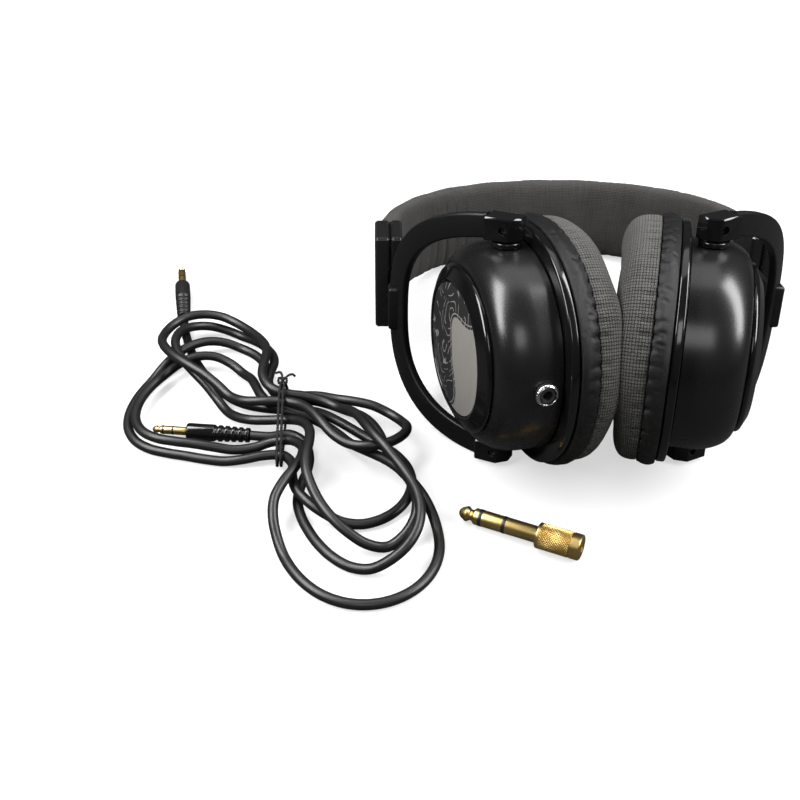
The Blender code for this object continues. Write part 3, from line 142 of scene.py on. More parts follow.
BAND_RISE = 68.6
BAND_POWER = 2.05
BAND_WIDTH_TOP = 35.0
BAND_WIDTH_END = 38.6
BAND_THICKNESS_TOP = 14.0
BAND_THICKNESS_END = 11.6
BAND_SECTION_POWER = 3.0
COVER_WALL = 0.9
COVER_START = 0.7
COVER_FULL = 1.5
COVER_GATHER = 0.55
GROOVE_DEPTH = 0.55
GROOVE_PUCKER = 0.25
GROOVE_SPREAD = 0.10
PIPING_RADIUS = 0.62
PIPING_SUNK = 0.15
SPRING_OFFSET = 3.2
FOAM_START = 20.0
FOAM_CLEARANCE = 1.6
FOAM_SIDE_CLEARANCE = 1.2
CAP_LENGTH = 24.0
CAP_INNER_THICKNESS = 5.1
CAP_OUTER_THICKNESS = 6.4
CAP_WALL = 1.4
CAP_STRAIGHT = 6.0
CAP_EDGE = 0.45
SLIDE_CLEARANCE = 0.3
GUIDE_WALL = 0.6

JACK_OFFSET = 1.0
JACK_NECK_RADIUS = 2.9
JACK_BORE_RADIUS = 1.8
JACK_BODY_RADIUS = 4.0
JACK_BODY_LENGTH = 12.0
JACK_NUT_RADIUS = 4.3
JACK_NUT_HEIGHT = 2.6
JACK_SEAT = 0.7

# ---------------------------------------------------------------- lead, in metres
LEAD_RADIUS = 2.0 * MM
LEAD_GAP = 1.2 * MM
LEAD_STEP = 2.0 * MM
LEAD_CRUSH = 6.4 * MM
LEAD_HUMP = 12.0
LOBE_POINTS = 24
LOBE_LENGTH = 190.0 * MM
WAIST = (-124.0 * MM, -48.0 * MM)
WAIST_STEP = 6.0 * MM
WAIST_PLACES = (3, -5, 5, -3, 1, 0, 4, 2, 3, -1)
LOBES = (
    (1, 42, 66 * MM, 46 * MM),
    (-1, -29, 66 * MM, 80 * MM),
    (1, 64, 100 * MM, 64 * MM),
    (-1, -26, 62 * MM, 72 * MM),
    (1, 54, 80 * MM, 48 * MM),
    (-1, -50, 76 * MM, 44 * MM),
    (1, 28, 52 * MM, 40 * MM),
    (-1, -46, 80 * MM, 54 * MM),
    (1, 60, 88 * MM, 48 * MM),
)
TIE_THICKNESS = 1.2 * MM
TIE_WIDTH = 3.0 * MM
STRAND_RADIUS = 0.62
STRAND_TWISTS = 44
PLUG_RADIUS = 3.5 * MM
PLUG_A = (-136.5 * MM, -53.5 * MM, 174.0)
PLUG_B = (-174.0 * MM, 26.0 * MM, 99.0)

# ---------------------------------------------------------------- plugs, in millimetres
AXIS = 0.02  # turned profiles end this near to their axis
PLUG_BARREL = 12.0
RELIEF_LENGTH = 14.0
RELIEF_RADIUS = 2.5
RELIEF_RIBS = 5
RIB_HEIGHT = 0.5
CONTACT_RADIUS = 1.75
CONTACT_LENGTH = 14.0
ADAPTER_TIP = (-54.0, -96.0)
ADAPTER_HEADING = math.radians(-26.0)
ADAPTER_RADIUS = 3.175
ADAPTER_SHAFT = 31.0
ADAPTER_SLEEVE = 17.0
ADAPTER_SLEEVE_RADIUS = 4.9
ADAPTER_BORE_DEPTH = 15.0
KNURL_PITCHES = 30

# ---------------------------------------------------------------- camera, from the photograph
CAMERA_PLACE = (-0.084124, -0.375840, 0.305501)
CAMERA_RIGHT = (0.9998018, -0.0183098, 0.0078163)
CAMERA_UP = (0.0062167, 0.6601180, 0.7511362)
CAMERA_LOOK = (0.0189128, 0.7509388, -0.6601010)
FOCAL_PIXELS = 1083.14
PHOTO_PIXELS = 800

# ---------------------------------------------------------------- stage
FLOOR_HALF = 4.0
FLOOR_GLOW = 1.15
FLOOR_BOUNCE = 0.05  # what the pieces see of the floor and of the world
WORLD_BOUNCE = 0.06
LAMPS = (  # name, setting of its power, width and height, place
    ("key", "key", (0.24, 0.75), (-0.50, -0.06, 0.60)),
    ("fill", "fill", (0.32, 0.36), (-0.10, -0.75, 0.75)),
    ("rim", "key", (0.24, 0.80), (0.50, -0.08, 0.56)),
    ("top", "fill", (0.6, 0.5), (0.0, 0.35, 0.80)),
)
LAMP_TARGET = (-0.02, -0.04, 0.05)

# ---------------------------------------------------------------- worked out
FLANGE_HALF_WIDTH = CUP_HALF_WIDTH + FLANGE_OVERHANG
FLANGE_HALF_HEIGHT = CUP_HALF_HEIGHT + FLANGE_OVERHANG - FLANGE_LEVEL
FLANGE_BACK = -CUP_FRONT - GAP
FLANGE_FRONT = FLANGE_BACK - FLANGE_THICKNESS
PAD_BACK = FLANGE_FRONT - GAP
PAD_FACE = PAD_BACK - PAD_THICKNESS
BLOCK_BOTTOM = PIVOT_HEIGHT - BLOCK_HEIGHT / 2
YOKE_BEND = (YOKE_END - YOKE_START) / YOKE_REACH

TILT_JOINT = next(joint for joint in frame["joints"] if joint["name"] == "cup_tilt_right")
PIVOT_SPREAD = TILT_JOINT["pos_m"][0] / MM
TIP = math.atan2(TILT_JOINT["axis"][1], TILT_JOINT["axis"][2])
REST_PLACE = np.array([0.0, TILT_JOINT["pos_m"][1], TILT_JOINT["pos_m"][2]])


# ================================================================ places
def laid(points):
    """Wearing frame in millimetres to the frame's own, in metres: a turn about X, then a move."""
    c, s = math.cos(TIP), math.sin(TIP)
    x, y, z = np.moveaxis(np.asarray(points, float) * MM, -1, 0)
    return np.stack([x, y * c + z * s, z * c - y * s], axis=-1) + REST_PLACE


def in_cup(side, points):
    """Cup's frame (out, up, front) to the frame's own: a turn about the pivot axis first."""
    turn = -CUP_TOE if side > 0 else math.pi + CUP_TOE
    c, s = math.cos(turn), math.sin(turn)
    out, up, front = np.moveaxis(np.asarray(points, float), -1, 0)
    return laid(np.stack([side * PIVOT_SPREAD + out * c - up * s, out * s + up * c, front], axis=-1))


def side_name(side):
    return "left" if side < 0 else "right"


def circle(columns, first=0.0):
    """Cosines and sines of evenly spaced angles."""
    angle = TAU * (np.arange(columns) + first) / columns
    return np.cos(angle), np.sin(angle)


def bent(value, power):
    """Signed power, which bends a cosine or sine to a superellipse's."""
    return np.sign(value) * np.abs(value) ** power


def path_length(points):
    return float(np.linalg.norm(np.diff(points, axis=0), axis=1).sum())


def evened(points, count):
    """The same path with its points evenly spaced."""
    steps = np.linalg.norm(np.diff(points, axis=0), axis=1)
    run = np.concatenate([[0.0], np.cumsum(steps)])
    at = np.linspace(0.0, run[-1], count)
    return np.column_stack([np.interp(at, run, column) for column in points.T])


def smooth_step(share):
    """0 to 1 with no slope at either end."""
    share = np.clip(share, 0.0, 1.0)
    return share * share * (3.0 - 2.0 * share)


def hermite(t, start, end, slope_in, slope_out):
    """Cubic between two points with the slopes given there."""
    return ((2 * t ** 3 - 3 * t ** 2 + 1) * start + (3 * t ** 2 - 2 * t ** 3) * end
            + (t ** 3 - 2 * t ** 2 + t) * slope_in + (t ** 3 - t ** 2) * slope_out)


# ================================================================ surfaces
def lengths(points, axis, wrap):
    """Distance run along one direction of a grid, averaged over the other."""
    if wrap:
        points = np.concatenate([points, np.take(points, [0], axis)], axis)
    steps = np.linalg.norm(np.diff(points, axis=axis), axis=2).mean(axis=1 - axis)
    run = np.concatenate([[0.0], np.cumsum(steps)])
    if wrap:
        whole = max(round(run[-1] / (4 * MM)), 1) * 4 * MM
        run *= whole / run[-1]
    return run


def add_surface(name, points, look, wrap=False, crease=None, merge=False):
    """Mesh over a grid of points[row, column]; the columns close into rings.

    The rows close too where wrap is set, and else each end gets one flat face. The
    UV map is the distance along the columns and down the rows, in metres.
    """
    rows, columns = points.shape[:2]
    grid = np.arange(rows * columns).reshape(rows, columns)
    near = grid if wrap else grid[:-1]
    far = np.roll(grid, -1, axis=0) if wrap else grid[1:]
    quads = np.stack([near, np.roll(near, -1, 1), np.roll(far, -1, 1), far], axis=-1).reshape(-1, 4)
    along, down = lengths(points, 1, True), lengths(points, 0, wrap)
    i, j = np.meshgrid(np.arange(near.shape[0]), np.arange(columns), indexing="ij")
    corners_u = np.stack([along[j], along[j + 1], along[j + 1], along[j]], axis=-1).reshape(-1, 4)
    corners_v = np.stack([down[i], down[i], down[i + 1], down[i + 1]], axis=-1).reshape(-1, 4)

    flat = points.reshape(-1, 3)
    a, b, c, d = (flat[quads[:, k]] for k in range(4))
    volume = (np.cross(a, b) * c).sum() + (np.cross(a, c) * d).sum()
    if not wrap:
        for ring, sign in ((points[0], -1), (points[-1], 1)):
            middle = ring.mean(axis=0)
            volume += sign * (np.cross(ring, np.roll(ring, -1, 0)) @ middle).sum()
    vertex = quads.ravel()
    u, v = corners_u.ravel(), corners_v.ravel()
    starts = np.arange(len(quads)) * 4
    if not wrap:
        for ring, at in ((grid[0, ::-1], 0.0), (grid[-1], down[-1])):
            starts = np.append(starts, len(vertex))
            vertex = np.concatenate([vertex, ring])
            u = np.concatenate([u, along[:-1]])
            v = np.concatenate([v, np.full(columns, at)])
    if volume < 0:
        ends = np.append(starts[1:], len(vertex))
        order = [np.arange(len(quads) * 4).reshape(-1, 4)[:, ::-1].ravel()]
        order += [np.arange(s, e)[::-1] for s, e in zip(starts[len(quads):], ends[len(quads):])]
        order = np.concatenate(order)
        vertex, u, v = vertex[order], u[order], v[order]

    mesh = bpy.data.meshes.new(name)
    mesh.vertices.add(len(flat))
    mesh.vertices.foreach_set("co", flat.astype(np.float32).ravel())
    mesh.loops.add(len(vertex))
    mesh.loops.foreach_set("vertex_index", vertex.astype(np.int32))
    mesh.polygons.add(len(starts))
    mesh.polygons.foreach_set("loop_start", starts.astype(np.int32))
    mesh.update(calc_edges=True)
    layer = mesh.uv_layers.new(name="UVMap")
    layer.data.foreach_set("uv", np.stack([u, v], axis=-1).astype(np.float32).ravel())
    if merge:
        weld(mesh)
    mesh.shade_smooth()
    if crease:
        mesh.set_sharp_from_angle(angle=math.radians(crease))
    return add_piece(name, mesh, look)


def weld(mesh, reach=2e-6):
    """Merge points that coincide."""
    bm = bmesh.new()
    bm.from_mesh(mesh)
    bmesh.ops.remove_doubles(bm, verts=bm.verts, dist=reach)
    bm.to_mesh(mesh)
    bm.free()


def linked(name, data):
    """Object of the data, in the scene."""
    made = bpy.data.objects.new(name, data)
    bpy.context.scene.collection.objects.link(made)
    return made


def add_piece(name, mesh, look):
    piece = linked(name, mesh)
    if look is not None:
        mesh.materials.clear()
        mesh.materials.append(look)
    return piece


def seat(piece, body, slot, *nodes):
    """Fix a piece to its body and hide the nodes it stands for; its slot is not used."""
    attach(piece, body)
    if nodes:
        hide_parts(*nodes)
    return piece


def dress(name, points, slot, body, node=None, wrap=False, crease=None, finish=None):
    """Surface in its finish, seated on its body in a node's place."""
    piece = add_surface(name, points, finishes()[finish or slot], wrap, crease)
    seat(piece, body, slot, *([node] if node else []))
    return piece


def gathered(name, parts, look):
    """One smooth mesh from several, for shells that make one piece."""
    bm = bmesh.new()
    for part in parts:
        bm.from_mesh(part.data)
        mesh = part.data
        bpy.data.objects.remove(part)
        bpy.data.meshes.remove(mesh)
    mesh = bpy.data.meshes.new(name)
    bm.to_mesh(mesh)
    bm.free()
    mesh.shade_smooth()
    return add_piece(name, mesh, look)


def refined_copy(node, name, look, width, segments=2):
    """Merged copy of a node with its edges rounded over, for small machined pieces."""
    mesh = frame["nodes"][node].data.copy()
    bm = bmesh.new()
    bm.from_mesh(mesh)
    bmesh.ops.remove_doubles(bm, verts=bm.verts, dist=4e-6)
    bmesh.ops.dissolve_limit(bm, angle_limit=math.radians(1.0), verts=bm.verts, edges=bm.edges)
    bm.to_mesh(mesh)
    bm.free()
    mesh.shade_smooth()
    mesh.set_sharp_from_angle(angle=math.radians(30.0))
    piece = add_piece(name, mesh, look)
    bevel = piece.modifiers.new("edges", "BEVEL")
    bevel.width = width * MM
    bevel.segments = segments
    bevel.limit_method = "ANGLE"
    bevel.angle_limit = math.radians(30.0)
    bevel.harden_normals = True
    return piece


def filleted(corners, radius, steps=4):
    """Profile with each inner corner rounded: a quadratic curve between two points set back."""
    corners = np.asarray(corners, float)
    out = [corners[0]]
    t = np.linspace(0.0, 1.0, steps + 1)[:, None]
    for before, here, after in zip(corners, corners[1:], corners[2:]):
        back, ahead = before - here, after - here
        room = min(radius, 0.45 * np.linalg.norm(back), 0.45 * np.linalg.norm(ahead))
        p = here + back / np.linalg.norm(back) * room
        q = here + ahead / np.linalg.norm(ahead) * room
        out.extend((1 - t) ** 2 * p + 2 * t * (1 - t) * here + t ** 2 * q)
    out.append(corners[-1])
    return np.array(out)


def closed_fillets(corners, radius, steps=4):
    """The same for a profile that closes on itself."""
    corners = np.asarray(corners, float)
    return filleted(np.vstack([corners[-1:], corners, corners[:1]]), radius, steps)[1:-1]


def oval(out, half_height, half_width, columns, power=CUP_POWER):
    """Superellipse rings in the cup's frame: |y/h|^p + |z/w|^p = 1 at each distance out."""
    up, front = (bent(v, 2 / power) for v in circle(columns))
    out, tall, wide = (np.asarray(v, float)[:, None] for v in (out, half_height, half_width))
    return np.stack(np.broadcast_arrays(out, tall * up, wide * front), axis=-1)


def cup_oval(section, columns=CUP_SEGMENTS):
    """Rings of the cup's own oval: one for each pair of a distance out and an inset."""
    out, inset = np.transpose(section)
    return oval(out, CUP_HALF_HEIGHT - inset, CUP_HALF_WIDTH - inset, columns)


def turned(profile, columns=64, axis=0):
    """Rings of a turned shape: each (along, radius) pair carried round the axis."""
    profile = np.asarray(profile, float)
    along, radius = np.repeat(profile[:, :1], columns, axis=1), profile[:, 1:]
    c, s = circle(columns)
    return np.roll(np.stack([along, radius * c, radius * s], axis=-1), axis, axis=-1)


def carried(path, section, reference, wrap=False):
    """Section carried along a path: its two axes are set across the path and the reference.

    section is (k, 2) or (n, k, 2), as (sideways, along the reference) distances.
    """
    path = np.asarray(path, float)
    if wrap:
        tangent = np.roll(path, -1, 0) - np.roll(path, 1, 0)
    else:
        tangent = np.gradient(path, axis=0)
    tangent /= np.linalg.norm(tangent, axis=1)[:, None]
    sideways = np.cross(np.broadcast_to(reference, path.shape), tangent)
    sideways /= np.linalg.norm(sideways, axis=1)[:, None]
    upright = np.cross(tangent, sideways)
    section = np.broadcast_to(section, (len(path), *np.shape(section)[-2:]))
    return (path[:, None] + section[..., :1] * sideways[:, None] + section[..., 1:] * upright[:, None])


def disc(radius, columns):
    """Circle as a section."""
    return radius * np.stack(circle(columns), axis=-1)


def waves(turns, across, seed, low, high, count, drift=1.5):
    """Sum of cosines: whole numbers of waves along turns, slanting a little across."""
    draw = np.random.default_rng(seed)
    total = np.zeros(np.broadcast_shapes(np.shape(turns), np.shape(across)))
    for number in draw.integers(low, high, count):
        slant, phase = draw.uniform(-drift, drift), draw.uniform(0, 1)
        total = total + np.cos(TAU * (number * turns + slant * across + phase))
    return total / math.sqrt(count)


def rounded_block(low, high, radius, steps=3):
    """Box with round edges: a sphere's octants moved apart to its corners."""
    low, high = np.asarray(low, float), np.asarray(high, float)
    half = (high - low) / 2
    quarter = np.linspace(0.0, math.pi / 2, steps + 1)
    around = np.concatenate([quarter + k * math.pi / 2 for k in range(4)])
    sx = np.repeat([1, -1, -1, 1], steps + 1)
    sy = np.repeat([1, 1, -1, -1], steps + 1)
    rise = np.concatenate([quarter - math.pi / 2, quarter])
    sz = np.repeat([-1, 1], steps + 1)
    ball = np.stack([np.cos(rise)[:, None] * np.cos(around), np.cos(rise)[:, None] * np.sin(around),
                     np.repeat(np.sin(rise)[:, None], len(around), axis=1)], axis=-1)
    signs = np.stack(np.broadcast_arrays(sx[None], sy[None], sz[:, None]), axis=-1)
    return (low + high) / 2 + signs * (half - radius) + radius * ball


# ================================================================ finishes
def maths(operation, swapped=False):
    """Method of Link that adds one Math node."""
    def method(self, *others):
        values = (*others, self) if swapped else (self, *others)
        return self.look.node("ShaderNodeMath", {"operation": operation}, dict(enumerate(values)))
    return method


class Link:
    """A number, colour or vector in a material; arithmetic on it adds its Math nodes."""

    def __init__(self, look, socket):
        self.look, self.socket = look, socket

    __add__ = __radd__ = maths("ADD")
    __mul__ = __rmul__ = maths("MULTIPLY")
    __sub__, __rsub__ = maths("SUBTRACT"), maths("SUBTRACT", swapped=True)
    __pow__, over = maths("POWER"), maths("MAXIMUM")
    sine, size = maths("SINE"), maths("ABSOLUTE")

    def ramp(self, low, high):
        """0 below low, 1 above high, smooth between."""
        settings = {"interpolation_type": "SMOOTHSTEP"}
        return self.look.node("ShaderNodeMapRange", settings, {0: self, 1: low, 2: high})


class Look:
    """A material on one Principled shader."""

    def __init__(self, name, **fixed):
        self.material = bpy.data.materials.new(name)
        self.material.use_nodes = True
        self.tree = self.material.node_tree
        self.shader = self.tree.nodes["Principled BSDF"]
        for key, value in fixed.items():
            socket = key.replace("_", " ").title().replace("Ior", "IOR")
            self.shader.inputs[socket].default_value = value

    def node(self, kind, settings=None, inputs=None, output=0):
        made = self.tree.nodes.new(kind)
        for key, value in (settings or {}).items():
            setattr(made, key, value)
        for key, value in (inputs or {}).items():
            if isinstance(value, Link):
                self.tree.links.new(value.socket, made.inputs[key])
            else:
                made.inputs[key].default_value = value
        return Link(self, made.outputs[output])

    def place(self, scale=(1, 1, 1), turn=(0, 0, 0)):
        """Object coordinates through a Mapping node."""
        where = self.node("ShaderNodeTexCoord", output="Object")
        return self.node("ShaderNodeMapping", None, {"Vector": where, "Scale": scale, "Rotation": turn})

    def cloth(self, scale=(1, 1, 1)):
        """The piece's UV map, in metres, through a Mapping node."""
        where = self.node("ShaderNodeUVMap", {"uv_map": "UVMap"})
        return self.node("ShaderNodeMapping", None, {"Vector": where, "Scale": scale})

    def noise(self, vector, scale, detail=3.0, roughness=0.5):
        return self.node("ShaderNodeTexNoise", None,
                         {"Vector": vector, "Scale": scale, "Detail": detail, "Roughness": roughness})

    def cells(self, vector, scale, feature="F1"):
        return self.node("ShaderNodeTexVoronoi", {"feature": feature},
                         {"Vector": vector, "Scale": scale})

    def split(self, vector):
        parts = self.node("ShaderNodeSeparateXYZ", None, {0: vector})
        return [Link(self, parts.socket.node.outputs[k]) for k in range(3)]

    def mix(self, share, first, second):
        return self.node("ShaderNodeMix", {"data_type": "RGBA"}, {0: share, 6: first, 7: second}, 2)

    def set(self, socket, value):
        self.tree.links.new(value.socket, self.shader.inputs[socket])

    def tint(self, share, colour, gain, lift=0.0):
        """Base colour: the given one, and by share the same scaled and lifted."""
        self.set("Base Color", self.mix(share, rgb(colour), rgb([c * gain + lift for c in colour])))

    def bump(self, height, distance, strength=1.0):
        """Relief of height times distance, in metres."""
        self.set("Normal", self.node("ShaderNodeBump", None, {"Height": height, "Distance": distance,
                                                              "Strength": strength}))


def rgb(colour):
    return (*colour, 1.0)


def moulded(name, colour, rough, grain):
    """Moulded plastic: a little uneven in gloss, with fine dust and a slight grain."""
    look = Look(name, base_color=rgb(colour))
    where = look.place()
    broad = look.noise(where, 45.0, 2.0)
    dust = look.noise(where, 2600.0, 1.0).ramp(0.66, 0.80)
    look.tint(dust * 0.35, colour, 2.2, 0.012)
    look.set("Roughness", rough + (broad - 0.5) * 0.10 + dust * 0.08)
    look.bump(look.noise(where, 1500.0, 2.0), grain * MM)
    return look.material


def anodised(name, colour):
    """Blasted and anodised casting: fine pits, gloss that varies."""
    look = Look(name, base_color=rgb(colour), metallic=0.35)
    where = look.place()
    pits = look.cells(where, 1700.0)
    broad = look.noise(where, 60.0, 3.0)
    worn = look.noise(where, 240.0, 4.0).ramp(0.60, 0.78)
    look.tint(worn * 0.3, colour, 2.0, 0.01)
    look.set("Roughness", 0.36 + (broad - 0.5) * 0.16 + pits * 0.05)
    look.bump(pits, 0.02 * MM)
    return look.material


def leatherette(name, colour):
    """Soft black leatherette: cell grain in two sizes, with a painted sheen that lightens the ridges."""
    look = Look(name, base_color=rgb(colour), specular_ior_level=0.32)
    where = look.place()
    drift = look.node("ShaderNodeTexNoise", None, {"Vector": where, "Scale": 220.0}, "Color")
    warp = look.node("ShaderNodeVectorMath", {"operation": "ADD"}, {0: where, 1: drift})
    grain = look.cells(where, 1150.0, "SMOOTH_F1")
    fine = look.noise(where, 3000.0, 2.0)
    crease = look.cells(warp, 130.0, "DISTANCE_TO_EDGE").ramp(0.0, 0.10)
    height = grain * 0.6 + fine * 0.2 + crease * 0.5
    # Painted sheen: the colour lifts with the grain's height, lighter on the ridges.
    look.tint(grain.ramp(0.1, 0.6), colour, 1.7)
    look.set("Roughness", 0.30 + grain * 0.12 + look.noise(where, 70.0, 2.0) * 0.10)
    look.bump(height, 0.07 * MM, 0.6)
    return look.material


def woven(name, light, dark, pitch, contrast):
    """Plain weave on the UV map: warp and weft cross over each other in turn."""
    look = Look(name, roughness=0.92, specular_ior_level=0.22, sheen_weight=0.08, sheen_roughness=0.5)
    turns = math.pi / (pitch * MM)
    u, v, _ = look.split(look.cloth((turns, turns, 1.0)))
    across, down = u.sine(), v.sine()
    over = (across * down * 4.0).ramp(-1.0, 1.0)
    warp = across.size() ** 0.6
    weft = down.size() ** 0.6
    height = (warp * over).over(weft * (1.0 - over))
    close, far = 1.0 / (pitch * MM), 0.05 / (pitch * MM)
    threads_along = look.noise(look.cloth((close, far, 1.0)), 1.0, 2.0)
    threads_down = look.noise(look.cloth((far, close, 1.0)), 1.0, 2.0)
    streak = (threads_along * over + threads_down * (1.0 - over)).ramp(0.36, 0.64)
    broad = look.noise(look.place(), 70.0, 3.0)
    fuzz = look.noise(look.place(), 2400.0, 3.0)
    # Painted shade: the colour follows the weave's height, dark in the hollows between threads; the streaks, broad
    # patches and fuzz are the threads' own tone.
    share = height * (1.0 - contrast) + streak * contrast
    share = (share * (0.80 + broad * 0.4) + (fuzz - 0.5) * 0.30).ramp(0.38, 1.0)
    look.set("Base Color", look.mix(share, rgb(dark), rgb(light)))
    look.set("Roughness", 0.86 + fuzz * 0.12)
    look.bump(height + fuzz * 0.3, 0.22 * MM, 1.0)
    return look.material


def brushed_pattern(name, silver, ink):
    """Brushed plate with a generic print: an inked field with a wavy edge, fine silver lines inside."""
    look = Look(name, metallic=1.0)
    where = look.place()
    streak = look.noise(look.place((60.0, 900.0, 60.0), (0.3, 0.0, 0.0)), 1.0, 4.0)
    _, depth, height = look.split(where)
    wander = look.noise(where, 38.0, 0.0, 0.3) - 0.5
    edge = (depth - PRINT_PLACE[0] * MM) * 900.0 + (height - PRINT_PLACE[1] * MM) * 300.0
    edge = edge + wander * 70.0
    field = edge.ramp(-0.4, 0.4)
    bands = (look.noise(where, 58.0, 1.0, 0.3) * 46.0).sine()
    lines = (1.0 - bands.size()).ramp(0.74, 0.88)
    dashes = (look.noise(where, 240.0, 1.0)).ramp(0.40, 0.52)
    rim = (edge.size() - 2.2).size().ramp(0.50, 0.25)
    print_on = field * (1.0 - (lines * dashes).over(rim))
    bare = look.mix(streak, rgb([c * 0.82 for c in silver]), rgb(silver))
    look.set("Base Color", look.mix(print_on, bare, rgb(ink)))
    look.set("Metallic", (1.0 - print_on) * 0.5)
    look.set("Roughness", 0.34 + streak * 0.12 + print_on * 0.10)
    look.bump(streak, 0.01 * MM, 0.5)
    return look.material


def plated(name, colour, rough, scratch=0.05):
    """Plated or bare metal with fine scratches and a breath of tarnish."""
    look = Look(name, base_color=rgb(colour), metallic=1.0)
    where = look.place()
    broad = look.noise(where, 160.0, 3.0)
    lines = look.noise(look.place((300.0, 4000.0, 300.0)), 1.0, 2.0)
    look.tint(broad.ramp(0.35, 0.75), colour, 0.80)
    look.set("Roughness", rough + broad * 0.06 + lines * scratch)
    return look.material


def rubber(name, colour, rough):
    """Soft smooth rubber: dull patches from handling, faint dust."""
    look = Look(name, base_color=rgb(colour), specular_ior_level=0.5)
    where = look.place()
    patches = look.noise(where, 90.0, 3.0)
    dust = look.noise(where, 2200.0, 1.0).ramp(0.62, 0.80)
    look.tint(dust * 0.4, colour, 2.0, 0.015)
    look.set("Roughness", rough + (patches - 0.5) * 0.16 + dust * 0.1)
    look.bump(look.noise(where, 1800.0, 2.0), 0.015 * MM)
    return look.material


def foam(name, colour):
    """Open-cell foam or felt."""
    look = Look(name, base_color=rgb(colour), roughness=0.95)
    pores = look.cells(look.place(), 1100.0)
    # Painted shade: the colour darkens to 0.3 of itself in the pores, the hollows of the bump.
    look.set("Base Color", look.mix(pores.ramp(0.1, 0.7), rgb([c * 0.3 for c in colour]), rgb(colour)))
    look.bump(pores, 0.3 * MM)
    return look.material


def twisted_thread(name, colour):
    """Dull twisted thread."""
    look = Look(name, base_color=rgb(colour), specular_ior_level=0.3)
    fibre = look.noise(look.cloth((900.0, 5000.0, 1.0)), 1.0, 3.0)
    low, high = (rgb([c * gain for c in colour]) for gain in (0.5, 1.8))
    look.set("Base Color", look.mix(fibre, low, high))
    look.set("Roughness", 0.62 + fibre * 0.25)
    look.bump(fibre, 0.06 * MM)
    return look.material


# ================================================================ settings
def colour_property(name, description, default):
    return bpy.props.FloatVectorProperty(name=name, description=description, default=default, size=3,
                                         min=0.0, max=1.0, subtype="COLOR")


def length_property(name, description, default):
    return bpy.props.FloatProperty(name=name, description=description, default=default * MM, min=0.0,
                                   unit="LENGTH", subtype="DISTANCE", precision=5)


def power_property(name, description, default):
    return bpy.props.FloatProperty(name=name, description=description, default=default, min=0.0,
                                   unit="POWER")


class ShellSettings(bpy.types.PropertyGroup):
    """Moulded and cast parts."""

    satin: colour_property("Satin black", "Cup housings and end caps", (0.0065, 0.0065, 0.0070))
    gloss: colour_property("Gloss black", "Flanges, rings and pivot blocks", (0.0040, 0.0040, 0.0045))
    fork: colour_property("Fork", "Anodised forks", (0.0055, 0.0055, 0.0060))
    plate: colour_property("Plate", "Back plates", (0.44, 0.42, 0.39))
    satin_roughness: bpy.props.FloatProperty(
        name="Satin roughness", description="Sheen of the satin plastic", default=0.27, min=0.0, max=1.0,
        subtype="FACTOR")


class FabricSettings(bpy.types.PropertyGroup):
    """Cushions and headband."""

    cushion_light: colour_property("Cushion thread", "Lit threads of the cushions",
                                   (0.090, 0.088, 0.083))
    # The gap colours are painted shade in the hollows between the threads.
    cushion_dark: colour_property("Cushion gaps", "Gaps in the cushions' weave", (0.007, 0.007, 0.006))
    band_light: colour_property("Headband thread", "Lit threads of the headband", (0.056, 0.053, 0.050))
    band_dark: colour_property("Headband gaps", "Gaps in the headband's weave", (0.008, 0.008, 0.007))
    leather: colour_property("Leatherette", "Band round each cushion", (0.0045, 0.0045, 0.0047))
    pitch: length_property("Thread pitch", "Thread to thread in the weave", 0.92)
    gather: length_property("Gather depth", "How deep the seam's gathers are", 0.9)


class LeadSettings(bpy.types.PropertyGroup):
    """Lead, plugs and adapter."""

    sheath: colour_property("Sheath", "The lead and its plugs", (0.0065, 0.0065, 0.0068))
    gold: colour_property("Gold", "Contacts and adapter", (0.62, 0.45, 0.17))
    knurl: length_property("Knurl depth", "Depth of the adapter's knurl", 0.34)


class StageSettings(bpy.types.PropertyGroup):
    """Floor, light and camera."""

    floor: colour_property("Floor", "Floor and backdrop", (0.80, 0.80, 0.80))
    key: power_property("Key light", "Power of the key and rim lights", 10.0)
    fill: power_property("Fill light", "Power of the fill and top lights", 1.5)


_looks = {}


def finishes():
    """Every finish by its record slot, made once from the settings."""
    if _looks:
        return _looks
    shell = bpy.context.scene.headphone_shell
    cloth = bpy.context.scene.headphone_fabric
    lead = bpy.context.scene.headphone_lead
    pitch = cloth.pitch / MM
    _looks.update({
        "satin_black": moulded("satin_black", shell.satin, shell.satin_roughness, 0.006),
        "gloss_black": moulded("gloss_black", shell.gloss, 0.13, 0.001),
        "black_anodised": anodised("black_anodised", shell.fork),
        "leatherette": leatherette("leatherette", cloth.leather),
        "pad_fabric": woven("pad_fabric", cloth.cushion_light, cloth.cushion_dark, pitch, 0.16),
        "band_fabric": woven("band_fabric", cloth.band_light, cloth.band_dark, pitch * 0.8, 0.14),
        "silver": brushed_pattern("silver", shell.plate, (0.012, 0.012, 0.013)),
        "chrome": plated("chrome", (0.66, 0.66, 0.68), 0.16),
        "spring_steel": plated("spring_steel", (0.42, 0.43, 0.45), 0.30),
        "screw_steel": plated("screw_steel", (0.10, 0.10, 0.11), 0.32),
        "foam": foam("foam", (0.030, 0.030, 0.032)),
        "driver_plastic": moulded("driver_plastic", (0.018, 0.018, 0.018), 0.5, 0.01),
        "magnet": plated("magnet", (0.38, 0.38, 0.40), 0.28),
        "film": moulded("film", (0.50, 0.45, 0.30), 0.25, 0.001),
        "gold": plated("gold", lead.gold, 0.24, 0.10),
        "cable_rubber": rubber("cable_rubber", lead.sheath, 0.40),
        "tie": twisted_thread("tie", (0.010, 0.010, 0.011)),
        "insulator": moulded("insulator", (0.008, 0.008, 0.008), 0.4, 0.001),
    })
    return _looks


